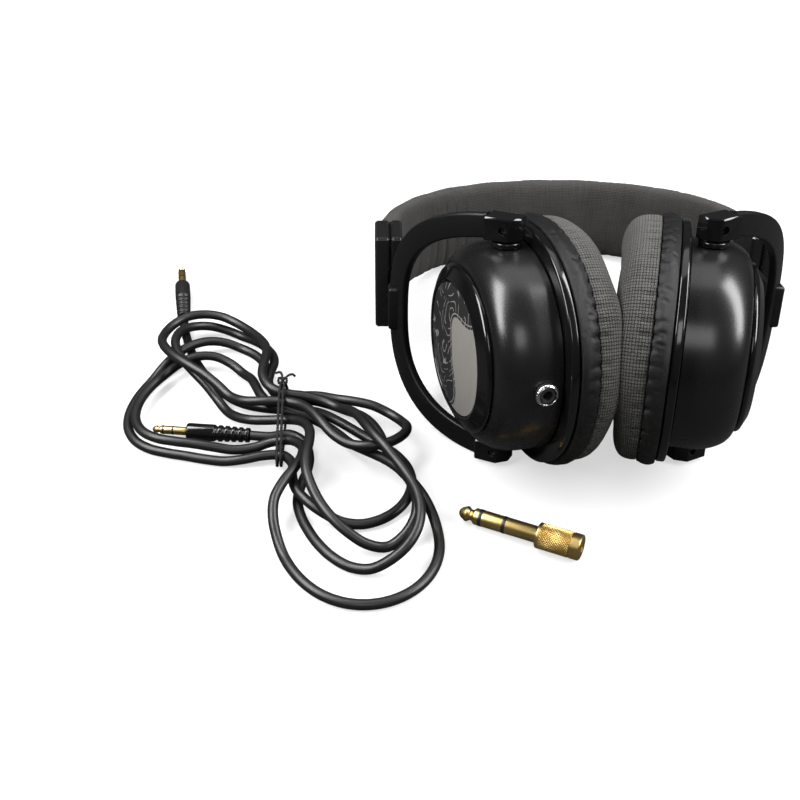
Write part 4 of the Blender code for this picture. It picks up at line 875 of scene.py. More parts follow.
# ================================================================ cups
def shoulder(offset, rows):
    """Housing's skin moved in by the offset: a quarter turn stretched to depth and draw-in."""
    angle = np.linspace(0.0, SHOULDER_ANGLE, rows)
    out = (CUP_DEPTH - offset) * np.sin(angle) / math.sin(SHOULDER_ANGLE)
    inset = CUP_SHOULDER * (1 - np.cos(angle)) / (1 - math.cos(SHOULDER_ANGLE))
    return np.vstack([[(-CUP_FRONT, offset)], np.column_stack([out, offset + inset])])


def housing_rings():
    """Closed bowl: outer skin from its back to its edge, then the inner skin to its floor."""
    outer, inner = shoulder(0.0, 28), shoulder(CUP_WALL, 10)
    outer[0, 0] += HOUSING_EDGE
    return cup_oval(np.vstack([outer[::-1], inner]))


def back_ring_rings():
    """Raised ring on the housing's back, its section rounded."""
    seat_at = CUP_DEPTH + GAP
    section = closed_fillets([
        (seat_at, 0.0), (seat_at + 1.0, 0.0), (seat_at + 1.9, 0.6),
        (seat_at + RING_HEIGHT - 0.5, RING_WIDTH - 2.0), (seat_at + RING_HEIGHT, RING_WIDTH - 1.0),
        (seat_at + RING_HEIGHT - 0.4, RING_WIDTH), (seat_at, RING_WIDTH)], 0.6)
    return cup_oval(section + (0.0, CUP_SHOULDER + RING_INSET))


def plate_rings():
    """Domed plate: out = edge + crown (1 - share squared), share shrinking to its middle."""
    inset = CUP_SHOULDER + RING_INSET + RING_WIDTH + GAP
    share = np.concatenate([[1.0], np.linspace(1.0, 0.985, 5), np.linspace(0.96, 0.004, 40)])
    out = CUP_DEPTH + GAP + PLATE_EDGE + PLATE_CROWN * (1 - share ** 2)
    out[0] = CUP_DEPTH + GAP
    out[1] -= 0.5
    out[2] -= 0.2
    return oval(out, (CUP_HALF_HEIGHT - inset) * share, (CUP_HALF_WIDTH - inset) * share, CUP_SEGMENTS)


def baffle_rings():
    """Flange with its rounded rim, locating rim inside the housing, and the driver's hole."""
    turn = np.linspace(0.0, math.pi / 2, 5)
    back, inset = FLANGE_EDGE * (1 - np.sin(turn)), FLANGE_EDGE * (1 - np.cos(turn))
    out = np.concatenate([(FLANGE_FRONT + back)[::-1], FLANGE_BACK - back])
    inset = np.concatenate([inset[::-1], inset])
    rim = oval(out, FLANGE_HALF_HEIGHT - inset, FLANGE_HALF_WIDTH - inset, CUP_SEGMENTS)
    sheet, spigot = FLANGE_FRONT + BAFFLE_SHEET, FLANGE_BACK + SPIGOT_DEPTH
    first, second = CUP_WALL + GAP, CUP_WALL + GAP + SPIGOT_WALL
    inner = cup_oval([(FLANGE_BACK, first), (spigot, first), (spigot, second), (sheet, second)])
    hole = oval((sheet, FLANGE_FRONT), (DRIVER_HOLE,) * 2, (DRIVER_HOLE,) * 2, CUP_SEGMENTS, 2.0)
    return np.concatenate([rim, inner, hole])


def felt_rings(columns=96):
    """Slab against the housing's back wall, with its edges rounded."""
    back = CUP_DEPTH - CUP_WALL - GAP
    inset, deep = CUP_WALL + CUP_SHOULDER + FOAM_INSET, 20.0
    front = back - FOAM_THICKNESS
    section = filleted([(back, deep), (back, inset), (front, inset), (front, deep)], 1.2)
    return cup_oval(section, columns)


def cushion_rings(out, reach, columns):
    """Rings set out from the flange's oval; the opening is a narrower oval of its own."""
    stretch = PAD_OPENING_HALF_HEIGHT - PAD_OPENING_HALF_WIDTH
    full = FLANGE_HALF_HEIGHT - FLANGE_HALF_WIDTH
    share = np.clip(reach / (PAD_OPENING_HALF_WIDTH - FLANGE_HALF_WIDTH), 0.0, 1.0)
    wide = FLANGE_HALF_WIDTH + reach
    tall = wide + full + (stretch - full) * share
    up, front = (bent(v, 2 / CUP_POWER) for v in circle(columns))
    return np.stack([out, tall * up, wide * front], axis=-1)


def across_profile(profile, inside):
    """Unit normals of a section profile, pointing away from a point inside it."""
    tangent = np.roll(profile, -1, 0) - np.roll(profile, 1, 0)
    tangent /= np.linalg.norm(tangent, axis=1)[:, None] + 1e-9
    normal = np.stack([tangent[:, 1], -tangent[:, 0]], axis=-1)
    outwards = ((profile - inside) * normal).sum(axis=1) > 0
    return np.where(outwards[:, None], normal, -normal)


def resampled(profile, spacing):
    """Closed profile with points about evenly spaced along it."""
    loop = np.vstack([profile, profile[:1]])
    return evened(loop, max(int(path_length(loop) / spacing), 12) + 1)[:-1]


def pad_section():
    """Cushion's section: half an ellipse from the seam over to the opening, then its back."""
    seam = PAD_BACK - PAD_BAND_HEIGHT - GAP
    edge = PAD_OVERHANG - PAD_SEAM_DEPTH
    opening = PAD_OPENING_HALF_WIDTH - FLANGE_HALF_WIDTH
    middle, half = (edge + opening) / 2, (edge - opening) / 2
    angle = np.linspace(0.0, math.pi, 160)
    swell = PAD_SEAM_DEPTH * np.sin(angle) * np.maximum(np.cos(angle), 0.0) * 1.6
    crown = np.column_stack([seam + (PAD_FACE - seam) * np.sin(angle) ** 0.75,
                             middle + half * np.cos(angle) + swell])
    side = PAD_OVERHANG - PAD_BAND_THICKNESS - GAP
    return np.vstack([crown, [((seam + PAD_BACK) / 2, opening - 0.4), (PAD_BACK, opening + 2.0),
                              (PAD_BACK, side), (seam, side)]])


def crease_lines(turns, seed, count, sharp):
    """Row of puckers round a seam: cosines to a power, unevenly spaced and deep."""
    sway = waves(turns, 0.0, seed, 2, 9, 5) * 0.12
    deep = 0.65 + 0.35 * waves(turns, 0.0, seed + 1, 5, 30, 6)
    return np.clip(deep, 0.1, 1.3) * (0.5 + 0.5 * np.cos(TAU * count * (turns + sway / count))) ** sharp


def pad_rings(side, columns=PAD_SEGMENTS):
    """Cushion with puckers at its seam, soft lumps on its crown and long slack folds."""
    gather = bpy.context.scene.headphone_fabric.gather / MM
    profile = resampled(pad_section(), PAD_GRID)
    inside = np.array([(PAD_FACE + PAD_BACK) / 2, (PAD_OPENING_HALF_WIDTH - FLANGE_HALF_WIDTH) / 2])
    normal = across_profile(profile, inside)
    at, reach = profile[:, :1], profile[:, 1:]
    seam = PAD_BACK - PAD_BAND_HEIGHT - GAP
    turns = (np.arange(columns) / columns)[None]
    seed = 40 + side
    from_seam = (seam - at) / (seam - PAD_FACE)
    shown = np.clip(from_seam * 8.0, 0.0, 1.0)
    slack = np.clip(from_seam * 3.0, 0.0, 1.0)
    pucker = np.where(reach > -9.0, np.clip(1.0 - from_seam * 2.0, 0.0, 1.0) ** 1.3, 0.0) * shown
    inner = np.clip((-reach - 14.0) / 6.0, 0.0, 1.0) * shown
    lumps = 0.5 + 0.5 * waves(turns, at / 16.0, seed + 2, 3, 11, 7, 0.6)
    folds = np.clip(waves(turns, at / 10.0, seed + 3, 14, 34, 8, 0.9) - 0.7, 0.0, 2.0)
    amount = -PUCKER_DEPTH * gather * crease_lines(turns, seed, PAD_GATHERS, 2.0) * pucker
    amount = amount - (LUMP_DEPTH * np.clip(lumps, 0.0, 1.2) + FOLD_DEPTH * folds) * slack
    near = INNER_PUCKER_DEPTH * gather * crease_lines(turns, seed + 7, PAD_GATHERS // 2, 3.0) * inner
    amount = amount + PUCKER_ROLL * pucker - near
    out = at + amount * normal[:, :1]
    full = PAD_FULL[side > 0] * smooth_step((np.sin(TAU * turns) + 0.75) / 1.1)
    out = out + np.minimum(out - seam, 0.0) * full
    return cushion_rings(out, reach + amount * normal[:, 1:], columns)


def pad_band_rings(side, columns=PAD_SEGMENTS):
    """Leatherette band: rolls out between flange and seam, drawn in by the seam's stitches."""
    gather = bpy.context.scene.headphone_fabric.gather / MM
    seam = PAD_BACK - PAD_BAND_HEIGHT
    inner = PAD_OVERHANG - PAD_BAND_THICKNESS
    share = np.linspace(0.0, 1.0, 22)
    swell = np.sin(math.pi * (0.12 + 0.76 * share))
    face = np.column_stack([PAD_BACK + (seam - PAD_BACK) * share,
                            PAD_OVERHANG - PAD_SEAM_DEPTH * (1 - swell)])
    profile = np.vstack([[(PAD_BACK, inner)], face, [(seam, inner)]])
    share = np.concatenate([[0.0], share, [1.0]])[:, None]
    turns = (np.arange(columns) / columns)[None]
    on_face = np.ones((len(profile), 1))
    on_face[[0, -1]] = 0.0
    stitch = crease_lines(turns, 40 + side, PAD_GATHERS, 2.0)
    creases = np.clip(waves(turns, share * 0.9, 60 + side, 30, 90, 10, 1.2) - 0.5, 0.0, 1.6)
    soft = waves(turns, share, 61 + side, 4, 14, 6, 0.8)
    amount = -0.9 * gather * stitch * share ** 2 - 0.30 * creases * np.sin(math.pi * share) + 0.22 * soft
    reach = profile[:, 1:] + (amount - 0.15) * on_face
    out = profile[:, :1] + 0.45 * gather * stitch * share ** 6
    return cushion_rings(np.broadcast_to(out, reach.shape), reach, columns)


class HEADPHONES_OT_cups(bpy.types.Operator):
    """Housings, back rings, plates and flanges"""

    bl_idname = "headphones.cups"
    bl_label = "Cups"

    def execute(self, context):
        shells = (("housing_shell", "cup_housing", housing_rings(), "satin_black", False, 40.0, None),
                  ("back_trim_ring", "back_ring", back_ring_rings(), "gloss_black", True, None, None),
                  ("domed_plate", "back_plate", plate_rings(), "silver", False, 50.0, None),
                  ("flange", "baffle", baffle_rings(), "gloss_black", True, 50.0, None),
                  ("damping_felt", "damping_foam", felt_rings(), "foam", False, 50.0, 0.9))
        for side in SIDES:
            name = side_name(side)
            for label, node, rings, slot, wrap, crease, fill in shells:
                dress(f"{label}_{name}", in_cup(side, rings), slot, f"cup_{name}", f"{node}_{name}",
                      wrap, crease)
        return {"FINISHED"}


class HEADPHONES_OT_cushions(bpy.types.Operator):
    """Fabric cushions with their leatherette bands"""

    bl_idname = "headphones.cushions"
    bl_label = "Cushions"

    def execute(self, context):
        for side in SIDES:
            name = side_name(side)
            for label, node, rings, slot, fill in (
                    ("cushion", "ear_pad", pad_rings, "pad_fabric", 0.85),
                    ("cushion_band", "ear_pad_band", pad_band_rings, "leatherette", 0.8)):
                dress(f"{label}_{name}", in_cup(side, rings(side)), slot, f"cup_{name}",
                      f"{node}_{name}", True)
        return {"FINISHED"}


# ================================================================ yokes and pivots
def plan(run):
    """Place and heading of the fork's bent plate: a circular arc seen along the pivots."""
    heading = YOKE_START + YOKE_BEND * run
    x = (math.cos(YOKE_START) - np.cos(heading)) / YOKE_BEND
    y = (np.sin(heading) - math.sin(YOKE_START)) / YOKE_BEND
    return PIVOT_SPREAD + x, y, heading


def chamfered(half_width, half_thickness, edge=YOKE_EDGE):
    """Rectangle with its corners rounded, as a closed section."""
    w, t = half_width, half_thickness
    return closed_fillets([(w, -t), (w, t), (-w, t), (-w, -t)], edge, 3)


def arm_rings(side, run, height, slope, sections):
    """Sections set square to the arm at each run along the plate and each height."""
    x, y, heading = plan(run)
    zero = np.zeros_like(heading)
    along = np.stack([np.sin(heading), np.cos(heading), zero], axis=-1)
    normal = np.stack([np.cos(heading), -np.sin(heading), zero], axis=-1)
    across = UP * np.cos(slope)[:, None] - along * np.sin(slope)[:, None]
    middle = np.stack([x, y, height], axis=-1)
    rings = middle[:, None] + across[:, None] * sections[..., :1] + normal[:, None] * sections[..., 1:]
    rings[..., 0] *= side
    return rings


def fork_rings(side, steps=120):
    """Both arms and the web in one sweep: half a superellipse round the cup."""
    foot = BLOCK_OUTER + GAP
    first = math.asin(foot / YOKE_REACH)
    angle = first + (math.pi - 2 * first) * np.arange(steps + 1) / steps

    def arch(a):
        return YOKE_REACH * np.sin(a), PIVOT_HEIGHT * bent(np.cos(a), 2 / YOKE_ARCH_POWER)

    run, height = arch(angle)
    ahead, behind = arch(angle + 0.01), arch(angle - 0.01)
    slope = np.arctan2(ahead[1] - behind[1], ahead[0] - behind[0])
    slope[0], slope[-1] = 0.0, math.pi
    height[0], height[-1] = PIVOT_HEIGHT, -PIVOT_HEIGHT
    run = np.concatenate([[foot - TONGUE_LENGTH, foot], run, [foot, foot - TONGUE_LENGTH]])
    height = np.concatenate([[PIVOT_HEIGHT] * 2, height, [-PIVOT_HEIGHT] * 2])
    slope = np.concatenate([[0.0] * 2, slope, [math.pi] * 2])
    arm = chamfered(YOKE_ARM_WIDTH / 2, YOKE_THICKNESS / 2)
    tongue = chamfered(TONGUE_WIDTH / 2, TONGUE_THICKNESS / 2, 0.4)
    sections = np.stack([tongue] * 2 + [arm] * (steps + 1) + [tongue] * 2)
    return arm_rings(side, run, height, slope, sections)


WEB_X, WEB_Y, _ = plan(YOKE_REACH)
STEM_X = WEB_X + WEB_TO_STEM
BOSS_END = WEB_Y + BOSS_LENGTH / 2 + WEB_TO_STEM
CAP_FRONT = BOSS_END + SLIDE_SHOWN
STEM_END = CAP_FRONT + CAP_WALL + STEM_ENGAGED
GUIDE_INNER = STEM_X - STEM_THICKNESS / 2 - SLIDE_CLEARANCE - GUIDE_WALL
CAP_INNER_FACE = GUIDE_INNER - GAP - CAP_WALL
CAP_OUTER_FACE = CAP_INNER_FACE + CAP_INNER_THICKNESS + GAP + CAP_OUTER_THICKNESS
BAND_HALF_SPAN = (CAP_INNER_FACE + CAP_OUTER_FACE) / 2
BAND_SPRING_LINE = CAP_FRONT + CAP_LENGTH - CAP_STRAIGHT


def stem_block(side, first, last, thickness, width, edge):
    """Round-edged block on the stem's line, from one height on it to another."""
    x = sorted(side * (STEM_X + half) for half in (-thickness / 2, thickness / 2))
    block = rounded_block((x[0], first, -width / 2), (x[1], last, width / 2), edge)
    return add_surface("block", laid(block), None, merge=True)


def bush_rings(end):
    """Collared bush: sleeve through the housing and a round collar under the block."""
    bottom = CUP_HALF_WIDTH - CUP_WALL - BUSH_BELOW_WALL
    collar, top = CUP_HALF_WIDTH + GAP, BLOCK_BOTTOM - GAP
    section = closed_fillets([(bottom, PIN_BORE), (bottom, BUSH_RADIUS), (collar, BUSH_RADIUS),
                              (collar, BUSH_COLLAR_RADIUS), (top, BUSH_COLLAR_RADIUS),
                              (top, PIN_BORE)], 0.35, 3)
    section[:, 0] *= end
    return turned(section, 64, 2)


class HEADPHONES_OT_yokes(bpy.types.Operator):
    """Forks with boss and stem, pivot blocks and bushes"""

    bl_idname = "headphones.yokes"
    bl_label = "Yokes and pivots"

    def execute(self, context):
        looks = finishes()
        for side in SIDES:
            name = side_name(side)
            parts = [
                add_surface("arms", laid(fork_rings(side)), None, False, 40.0),
                stem_block(side, BOSS_END - BOSS_LENGTH, BOSS_END, BOSS_THICKNESS, BOSS_HEIGHT, 1.1),
                stem_block(side, BOSS_END - BOSS_LENGTH / 2, STEM_END, STEM_THICKNESS, STEM_WIDTH, 0.4),
            ]
            fork = gathered(f"fork_{name}", parts, looks["black_anodised"])
            fork.data.set_sharp_from_angle(angle=math.radians(50.0))
            seat(fork, f"yoke_{name}", "black_anodised", f"yoke_{name}")
            for end, level in ((1, f"top_{name}"), (-1, f"bottom_{name}")):
                block = refined_copy(f"pivot_block_{level}", f"block_{level}", looks["gloss_black"],
                                     BLOCK_EDGE)
                seat(block, f"yoke_{name}", "gloss_black", f"pivot_block_{level}")
                dress(f"bush_{level}", in_cup(side, bush_rings(end)), "gloss_black", f"cup_{name}",
                      f"pivot_bush_{level}", True, 50.0)
        return {"FINISHED"}


# ================================================================ headband
def band_centre(angle):
    """Superellipse arch from the right end over the crown to the left."""
    power = 2 / BAND_POWER
    return (BAND_HALF_SPAN * bent(np.cos(angle), power),
            BAND_SPRING_LINE + BAND_RISE * np.abs(np.sin(angle)) ** power)


def band_frame(angle):
    """Points of the arch and their outward normals, by central difference."""
    step = 0.004
    x, y = band_centre(angle)
    x0, y0 = band_centre(np.maximum(angle - step, 1e-6))
    x1, y1 = band_centre(np.minimum(angle + step, math.pi - 1e-6))
    tangent = np.stack([x1 - x0, y1 - y0], axis=-1)
    tangent /= np.linalg.norm(tangent, axis=-1)[..., None]
    zero = np.zeros_like(x)
    return np.stack([x, y, zero], axis=-1), np.stack([tangent[..., 1], -tangent[..., 0], zero], axis=-1)


def band_angle(height):
    rise = (height - BAND_SPRING_LINE) / BAND_RISE
    return math.asin(rise ** (BAND_POWER / 2))


def band_angles(first, count):
    return first + (math.pi - 2 * first) * np.linspace(0.0, 1.0, count)


def band_halves(angle):
    share = np.sin(angle) ** 2
    width = BAND_WIDTH_END + (BAND_WIDTH_TOP - BAND_WIDTH_END) * share
    thickness = BAND_THICKNESS_END + (BAND_THICKNESS_TOP - BAND_THICKNESS_END) * share
    return width / 2, thickness / 2


def band_grid(angle, across, out):
    """Points beside the arch: across it and out from it, for each angle."""
    centre, normal = band_frame(angle)
    return centre[:, None] + normal[:, None] * out[..., None] + UP * across[..., None]


def band_surface(angle, turn, inset, swell=0.0):
    """Superellipse section round the arch; swell moves the skin in or out."""
    half_width, half_thickness = band_halves(angle)
    power = 2 / BAND_SECTION_POWER
    across = (half_width[:, None] - inset + swell) * bent(np.cos(turn), power)
    out = (half_thickness[:, None] - inset + swell) * bent(np.sin(turn), power)
    return band_grid(angle, across, out)


COVER_FIRST = band_angle(CAP_FRONT + CAP_LENGTH + COVER_START)
SEAM_TURNS = (math.radians(38.0), math.radians(142.0))


def cover_points(rows=420, columns=160):
    """Sewn cover: inner side gathered across, outer side smooth, grooves beside its seams."""
    angle = band_angles(COVER_FIRST, rows)
    turn = TAU * (np.arange(columns) + 0.5) / columns
    turns = turn[None] / TAU
    share = np.linspace(0.0, 1.0, rows)[:, None]
    to_end = np.minimum(share, 1.0 - share)
    inner = np.clip(0.35 - np.sin(turn)[None], 0.0, 1.0) ** 0.7
    ends = np.clip(to_end * 22.0, 0.0, 1.0)
    bend = 0.35 + 0.65 * np.clip(1.25 - np.abs(np.abs(share - 0.5) - 0.27) * 5.0, 0.0, 1.0)
    gathers = np.clip(waves(share, turns, 11, 14, 46, 9, 0.9) - 0.35, 0.0, 1.6)
    fine = waves(share, turns, 12, 60, 120, 9, 1.2)
    soft = waves(share, turns, 13, 4, 12, 6, 1.0)
    swell = inner * (bend * (-COVER_GATHER * gathers + 0.05 * fine) + 0.22 * soft) - 0.10 * inner
    swell = swell + (1.0 - inner) * (0.10 * soft + 0.04 * fine) - 0.12
    puckers = 0.5 + 0.5 * waves(share, 0.0, 14, 90, 150, 6)
    for seam in SEAM_TURNS:
        near = np.exp(-((turn[None] - seam) / GROOVE_SPREAD) ** 2)
        swell = swell - near * (GROOVE_DEPTH + GROOVE_PUCKER * puckers)
    hem = np.clip(1.0 - to_end * 60.0, 0.0, 1.0)
    swell = swell * ends + hem * 0.15 - 0.25 * (1.0 - ends)
    front = np.clip(np.cos(turn)[None], 0.0, 1.0) ** 3
    swell = swell + COVER_FULL * front * np.sin(math.pi * share) ** 0.8
    inner_skin = band_surface(angle[::6], turn, COVER_WALL + 0.7)
    return np.concatenate([band_surface(angle, turn, 0.0, swell), inner_skin[::-1]])


def seam_path(turn, lift):
    """Line along the cover at one place in its section."""
    angle = band_angles(COVER_FIRST + 0.004, 260)
    return band_surface(angle, np.array([turn]), 0.0, lift)[:, 0]


def band_foam_points():
    """Foam under the cover: an oval slab from the strip in to the cover's inner side."""
    angle = band_angles(band_angle(CAP_FRONT + CAP_LENGTH + FOAM_START), 90)
    half_width, half_thickness = band_halves(angle)
    inset = COVER_WALL + FOAM_CLEARANCE
    top, bottom = SPRING_OFFSET - GAP, (inset - half_thickness)[:, None]
    c, s = circle(40)
    out = (top + bottom) / 2 + (top - bottom) / 2 * bent(s, 0.6)
    taper = np.where(s > 0, 1.0 - 0.22 * s, 1.0)
    across = (half_width - inset - FOAM_SIDE_CLEARANCE)[:, None] * bent(c, 0.6) * taper
    return band_grid(angle, across, out)


class HEADPHONES_OT_headband(bpy.types.Operator):
    """Sewn cover with its piped seams, foam, and the end caps"""

    bl_idname = "headphones.headband"
    bl_label = "Headband"

    def execute(self, context):
        body = "headband"
        dress("headband_sleeve", laid(cover_points()), "band_fabric", body, "headband_cover", True)
        for label, turn in zip(("front", "back"), SEAM_TURNS):
            rings = carried(seam_path(turn, -PIPING_SUNK), disc(PIPING_RADIUS, 10), UP)
            dress(f"headband_piping_{label}", laid(rings), "band_fabric", body)
        dress("headband_foam", laid(band_foam_points()), "foam", body, "headband_pad", False, 60.0)
        for place in [f"{shell}_{side_name(side)}" for side in SIDES for shell in ("inner", "outer")]:
            cap = refined_copy(f"end_cap_{place}", f"cap_shell_{place}", finishes()["satin_black"],
                               CAP_EDGE)
            seat(cap, body, "satin_black", f"end_cap_{place}")
        return {"FINISHED"}


# ================================================================ jack
class HEADPHONES_OT_jack(bpy.types.Operator):
    """Socket and knurled nut in the left cup"""

    bl_idname = "headphones.jack"
    bl_label = "Jack"

    def execute(self, context):
        low = CUP_HALF_HEIGHT + GAP
        top, bore = low + JACK_NUT_HEIGHT, JACK_NECK_RADIUS + GAP
        end, ledge = top - 0.4, CUP_HALF_HEIGHT - CUP_WALL - JACK_SEAT
        back = ledge - JACK_BODY_LENGTH
        floor, pinhole = back + 2 * CUP_WALL, 0.3 * JACK_BORE_RADIUS
        section = closed_fillets([
            (end, JACK_BORE_RADIUS), (end, JACK_NECK_RADIUS), (ledge, JACK_NECK_RADIUS),
            (ledge, JACK_BODY_RADIUS), (back, JACK_BODY_RADIUS), (back, pinhole), (floor, pinhole),
            (floor, JACK_BORE_RADIUS)], 0.3, 2)
        offset = (JACK_OFFSET, 0, 0)
        dress("jack_barrel", in_cup(-1, turned(section, 48, 1) - offset), "driver_plastic", "cup_left",
              "jack_socket", True, 40.0)

        section = closed_fillets([(low, bore), (low, JACK_NUT_RADIUS), (top - 0.7, JACK_NUT_RADIUS),
                                  (top, JACK_NUT_RADIUS - 0.7), (top, bore)], 0.3, 3)
        columns, flutes = 144, 24
        rings = turned(section, columns, 1)
        fluted = 1.0 - 0.035 * (0.5 + 0.5 * np.cos(flutes * TAU * np.arange(columns) / columns)) ** 2
        outside = np.hypot(rings[..., 0], rings[..., 2]) > JACK_NUT_RADIUS - 0.5
        rings[..., ::2] *= np.where(outside, fluted[None], 1.0)[..., None]
        dress("jack_ring_nut", in_cup(-1, rings - offset), "chrome", "cup_left", "jack_nut", True, 40.0)
        return {"FINISHED"}


# ================================================================ lead
def lobe_plan(lobe, place_in, place_out):
    """One lobe from waist to waist, seen from above: out as sin squared, apart as sin 2t."""
    side, heading, length, width = lobe
    t = np.linspace(0.0, math.pi, 400)
    rise = np.abs(np.sin(t))
    along = length * rise ** 2
    apart = width / 2 * np.sin(2 * t) * rise ** 1.5 * math.copysign(1.0, place_in - place_out)
    across = place_in * np.cos(t / 2) ** 2 + place_out * np.sin(t / 2) ** 2 + apart
    share = np.clip(along / (0.45 * length), 0.0, 1.0)
    turn = math.radians(heading) * share ** 2 * (3 - 2 * share)
    x = WAIST[0] + side * (along * np.cos(turn) + across * np.sin(turn))
    y = WAIST[1] - along * np.sin(turn) + across * np.cos(turn)
    return np.column_stack([x, y])


def facing(degrees):
    """Level unit vector at a heading."""
    return np.array([math.cos(math.radians(degrees)), math.sin(math.radians(degrees)), 0.0])


def end_plan(place, plug):
    """Lead from the waist to a plug: a cubic that ends straight."""
    heading = facing(plug[2])[:2]
    start, goal = np.array([WAIST[0], WAIST[1] + place]), np.array(plug[:2])
    before = goal - heading * 2 * LEAD_RADIUS
    pull = np.linalg.norm(before - start)
    t = np.linspace(0.0, 1.0, 120)[:, None]
    return np.vstack([hermite(t, start, before, np.array([-pull, 0.0]), heading * pull), goal[None]])


def rounded(points, width, odd):
    """Path or heights averaged over a bell of the given width, ends held."""
    reach = math.ceil(3 * width / LEAD_STEP)
    bell = np.exp(-0.5 * (np.arange(-reach, reach + 1) * LEAD_STEP / width) ** 2)
    bell /= bell.sum()
    ends = "odd" if odd else "even"
    padded = np.pad(points, ((reach, reach), (0, 0)), mode="reflect", reflect_type=ends)
    return np.column_stack([np.convolve(column, bell, mode="valid") for column in padded.T])


def draped(flat, tucked):
    """Height of the lead's centre line as it lies in order over itself.

    At a crossing it rests on what lies there; it falls away from it as a parabola.
    The tucked length at its far end lies under the rest.
    """
    along = np.arange(len(flat)) * LEAD_STEP
    laid_at = np.where(along > along[-1] - tucked, along - 2 * along[-1], along)
    reach = 2 * LEAD_RADIUS + LEAD_GAP
    apart = np.linalg.norm(flat[:, None] - flat[None], axis=2)
    elsewhere = np.abs(along[:, None] - along[None]) > 4 * reach
    over = elsewhere & (laid_at[:, None] > laid_at[None]) & (apart < reach)
    lift = np.sqrt(np.maximum(reach ** 2 - apart ** 2, 0.0))
    fall = LEAD_HUMP * (along[:, None] - along[None]) ** 2
    floor = np.full(len(flat), LEAD_RADIUS)
    at_tie = np.abs(flat[:, 0] - WAIST[0]) < 3 * TIE_WIDTH
    at_tie &= np.abs(flat[:, 1] - WAIST[1]) < 4 * WAIST_STEP
    floor[at_tie] += TIE_THICKNESS + 2 * GAP * MM
    straight = math.ceil(2 * LEAD_RADIUS / LEAD_STEP) + 1
    floor[:straight] = PLUG_RADIUS
    floor[-straight:] = PLUG_RADIUS
    height = floor.copy()
    for _ in range(14):
        needed = np.maximum(floor, np.where(over, height[None] + lift, 0.0).max(axis=1))
        height = np.maximum((needed[None] - fall).max(axis=1), floor)
    return rounded(height[:, None], LEAD_STEP * 1.5, False)


def lead_route():
    """Centre line of the whole lead, from plug B through the hank to plug A."""
    places = [half_steps * WAIST_STEP / 2 for half_steps in WAIST_PLACES]
    parts = [end_plan(places[0], PLUG_B)[::-1]]
    parts += [lobe_plan(*lobe)[1:] for lobe in zip(LOBES, places, places[1:])]
    parts.append(end_plan(places[-1], PLUG_A)[1:])
    last_lobe, last_end = parts[-2:]
    tucked = path_length(last_lobe[len(last_lobe) // 2:]) + path_length(last_end)
    flat = np.vstack(parts)
    flat = rounded(evened(flat, round(path_length(flat) / LEAD_STEP) + 1), LEAD_CRUSH, True)
    flat = evened(flat, round(path_length(flat) / LEAD_STEP) + 1)
    route = np.column_stack([flat, draped(flat, tucked)])
    route = evened(route, round(path_length(route) / LOBE_LENGTH * LOBE_POINTS))
    for last, second, plug in ((0, 1, PLUG_B), (-1, -2, PLUG_A)):
        route[last] = (*plug[:2], PLUG_RADIUS)
        route[second] = route[last] - np.linalg.norm(route[second] - route[last]) * facing(plug[2])
    return route


def smoothed(route, parts=5):
    """Cubic through every point of the route, with each slope from its two neighbours."""
    slope = np.gradient(route, axis=0)
    t = (np.arange(parts) / parts)[None, :, None]
    curve = hermite(t, route[:-1, None], route[1:, None], slope[:-1, None], slope[1:, None])
    return np.vstack([curve.reshape(-1, 3), route[-1:]])


def at_plug(plug, points):
    """Plug's frame in millimetres, X towards its tip, to the frame's own."""
    heading = math.radians(plug[2])
    c, s = math.cos(heading), math.sin(heading)
    x, y, z = np.moveaxis(points * MM, -1, 0)
    return np.stack([plug[0] + x * c - y * s, plug[1] + x * s + y * c, PLUG_RADIUS + z], axis=-1)


def contact_profile(foot, tip, radius):
    """Contact: shaft, neck, shoulder and rounded point."""
    nose = [(tip - back * radius, wide * radius) for back, wide in (
        (2.0, 1.0), (1.7, 0.66), (1.4, 0.66), (1.0, 0.97), (0.3, 0.62), (0.0, 0.25))]
    return filleted([(foot, AXIS), (foot, radius), *nose, (tip, AXIS)], 0.12 * radius, 3)


def insulator_rings(foot, tip, radius):
    """Black rings between the contact's parts, just proud of it."""
    low, high = 0.8 * radius, 1.03 * radius
    for place in (0.52, 0.90):
        middle, half = foot + (tip - 2.0 * radius - foot) * place, 0.22 * radius
        yield closed_fillets([(middle - half, low), (middle - half, high),
                              (middle + half, high), (middle + half, low)], 0.1, 2)


def relief_profile():
    """Plug's body: ribbed relief that swells towards the barrel, then the barrel."""
    rib, radius = RELIEF_LENGTH / RELIEF_RIBS, PLUG_RADIUS / MM
    points = [(GAP, AXIS)]
    for count in range(RELIEF_RIBS):
        start = GAP + count * rib
        skin = RELIEF_RADIUS + (radius - RELIEF_RADIUS) * count / (2 * RELIEF_RIBS)
        points += [(start, skin), (start + rib * 0.1, skin + RIB_HEIGHT),
                   (start + rib * 0.6, skin + RIB_HEIGHT), (start + rib * 0.7, skin - 0.2)]
    barrel = GAP + RELIEF_LENGTH
    end, neck = barrel + PLUG_BARREL, radius - RIB_HEIGHT
    points += [(barrel, neck), (barrel + RIB_HEIGHT, radius), (end - RIB_HEIGHT, radius), (end, neck),
               (end, AXIS)]
    return filleted(points, 0.3, 3)


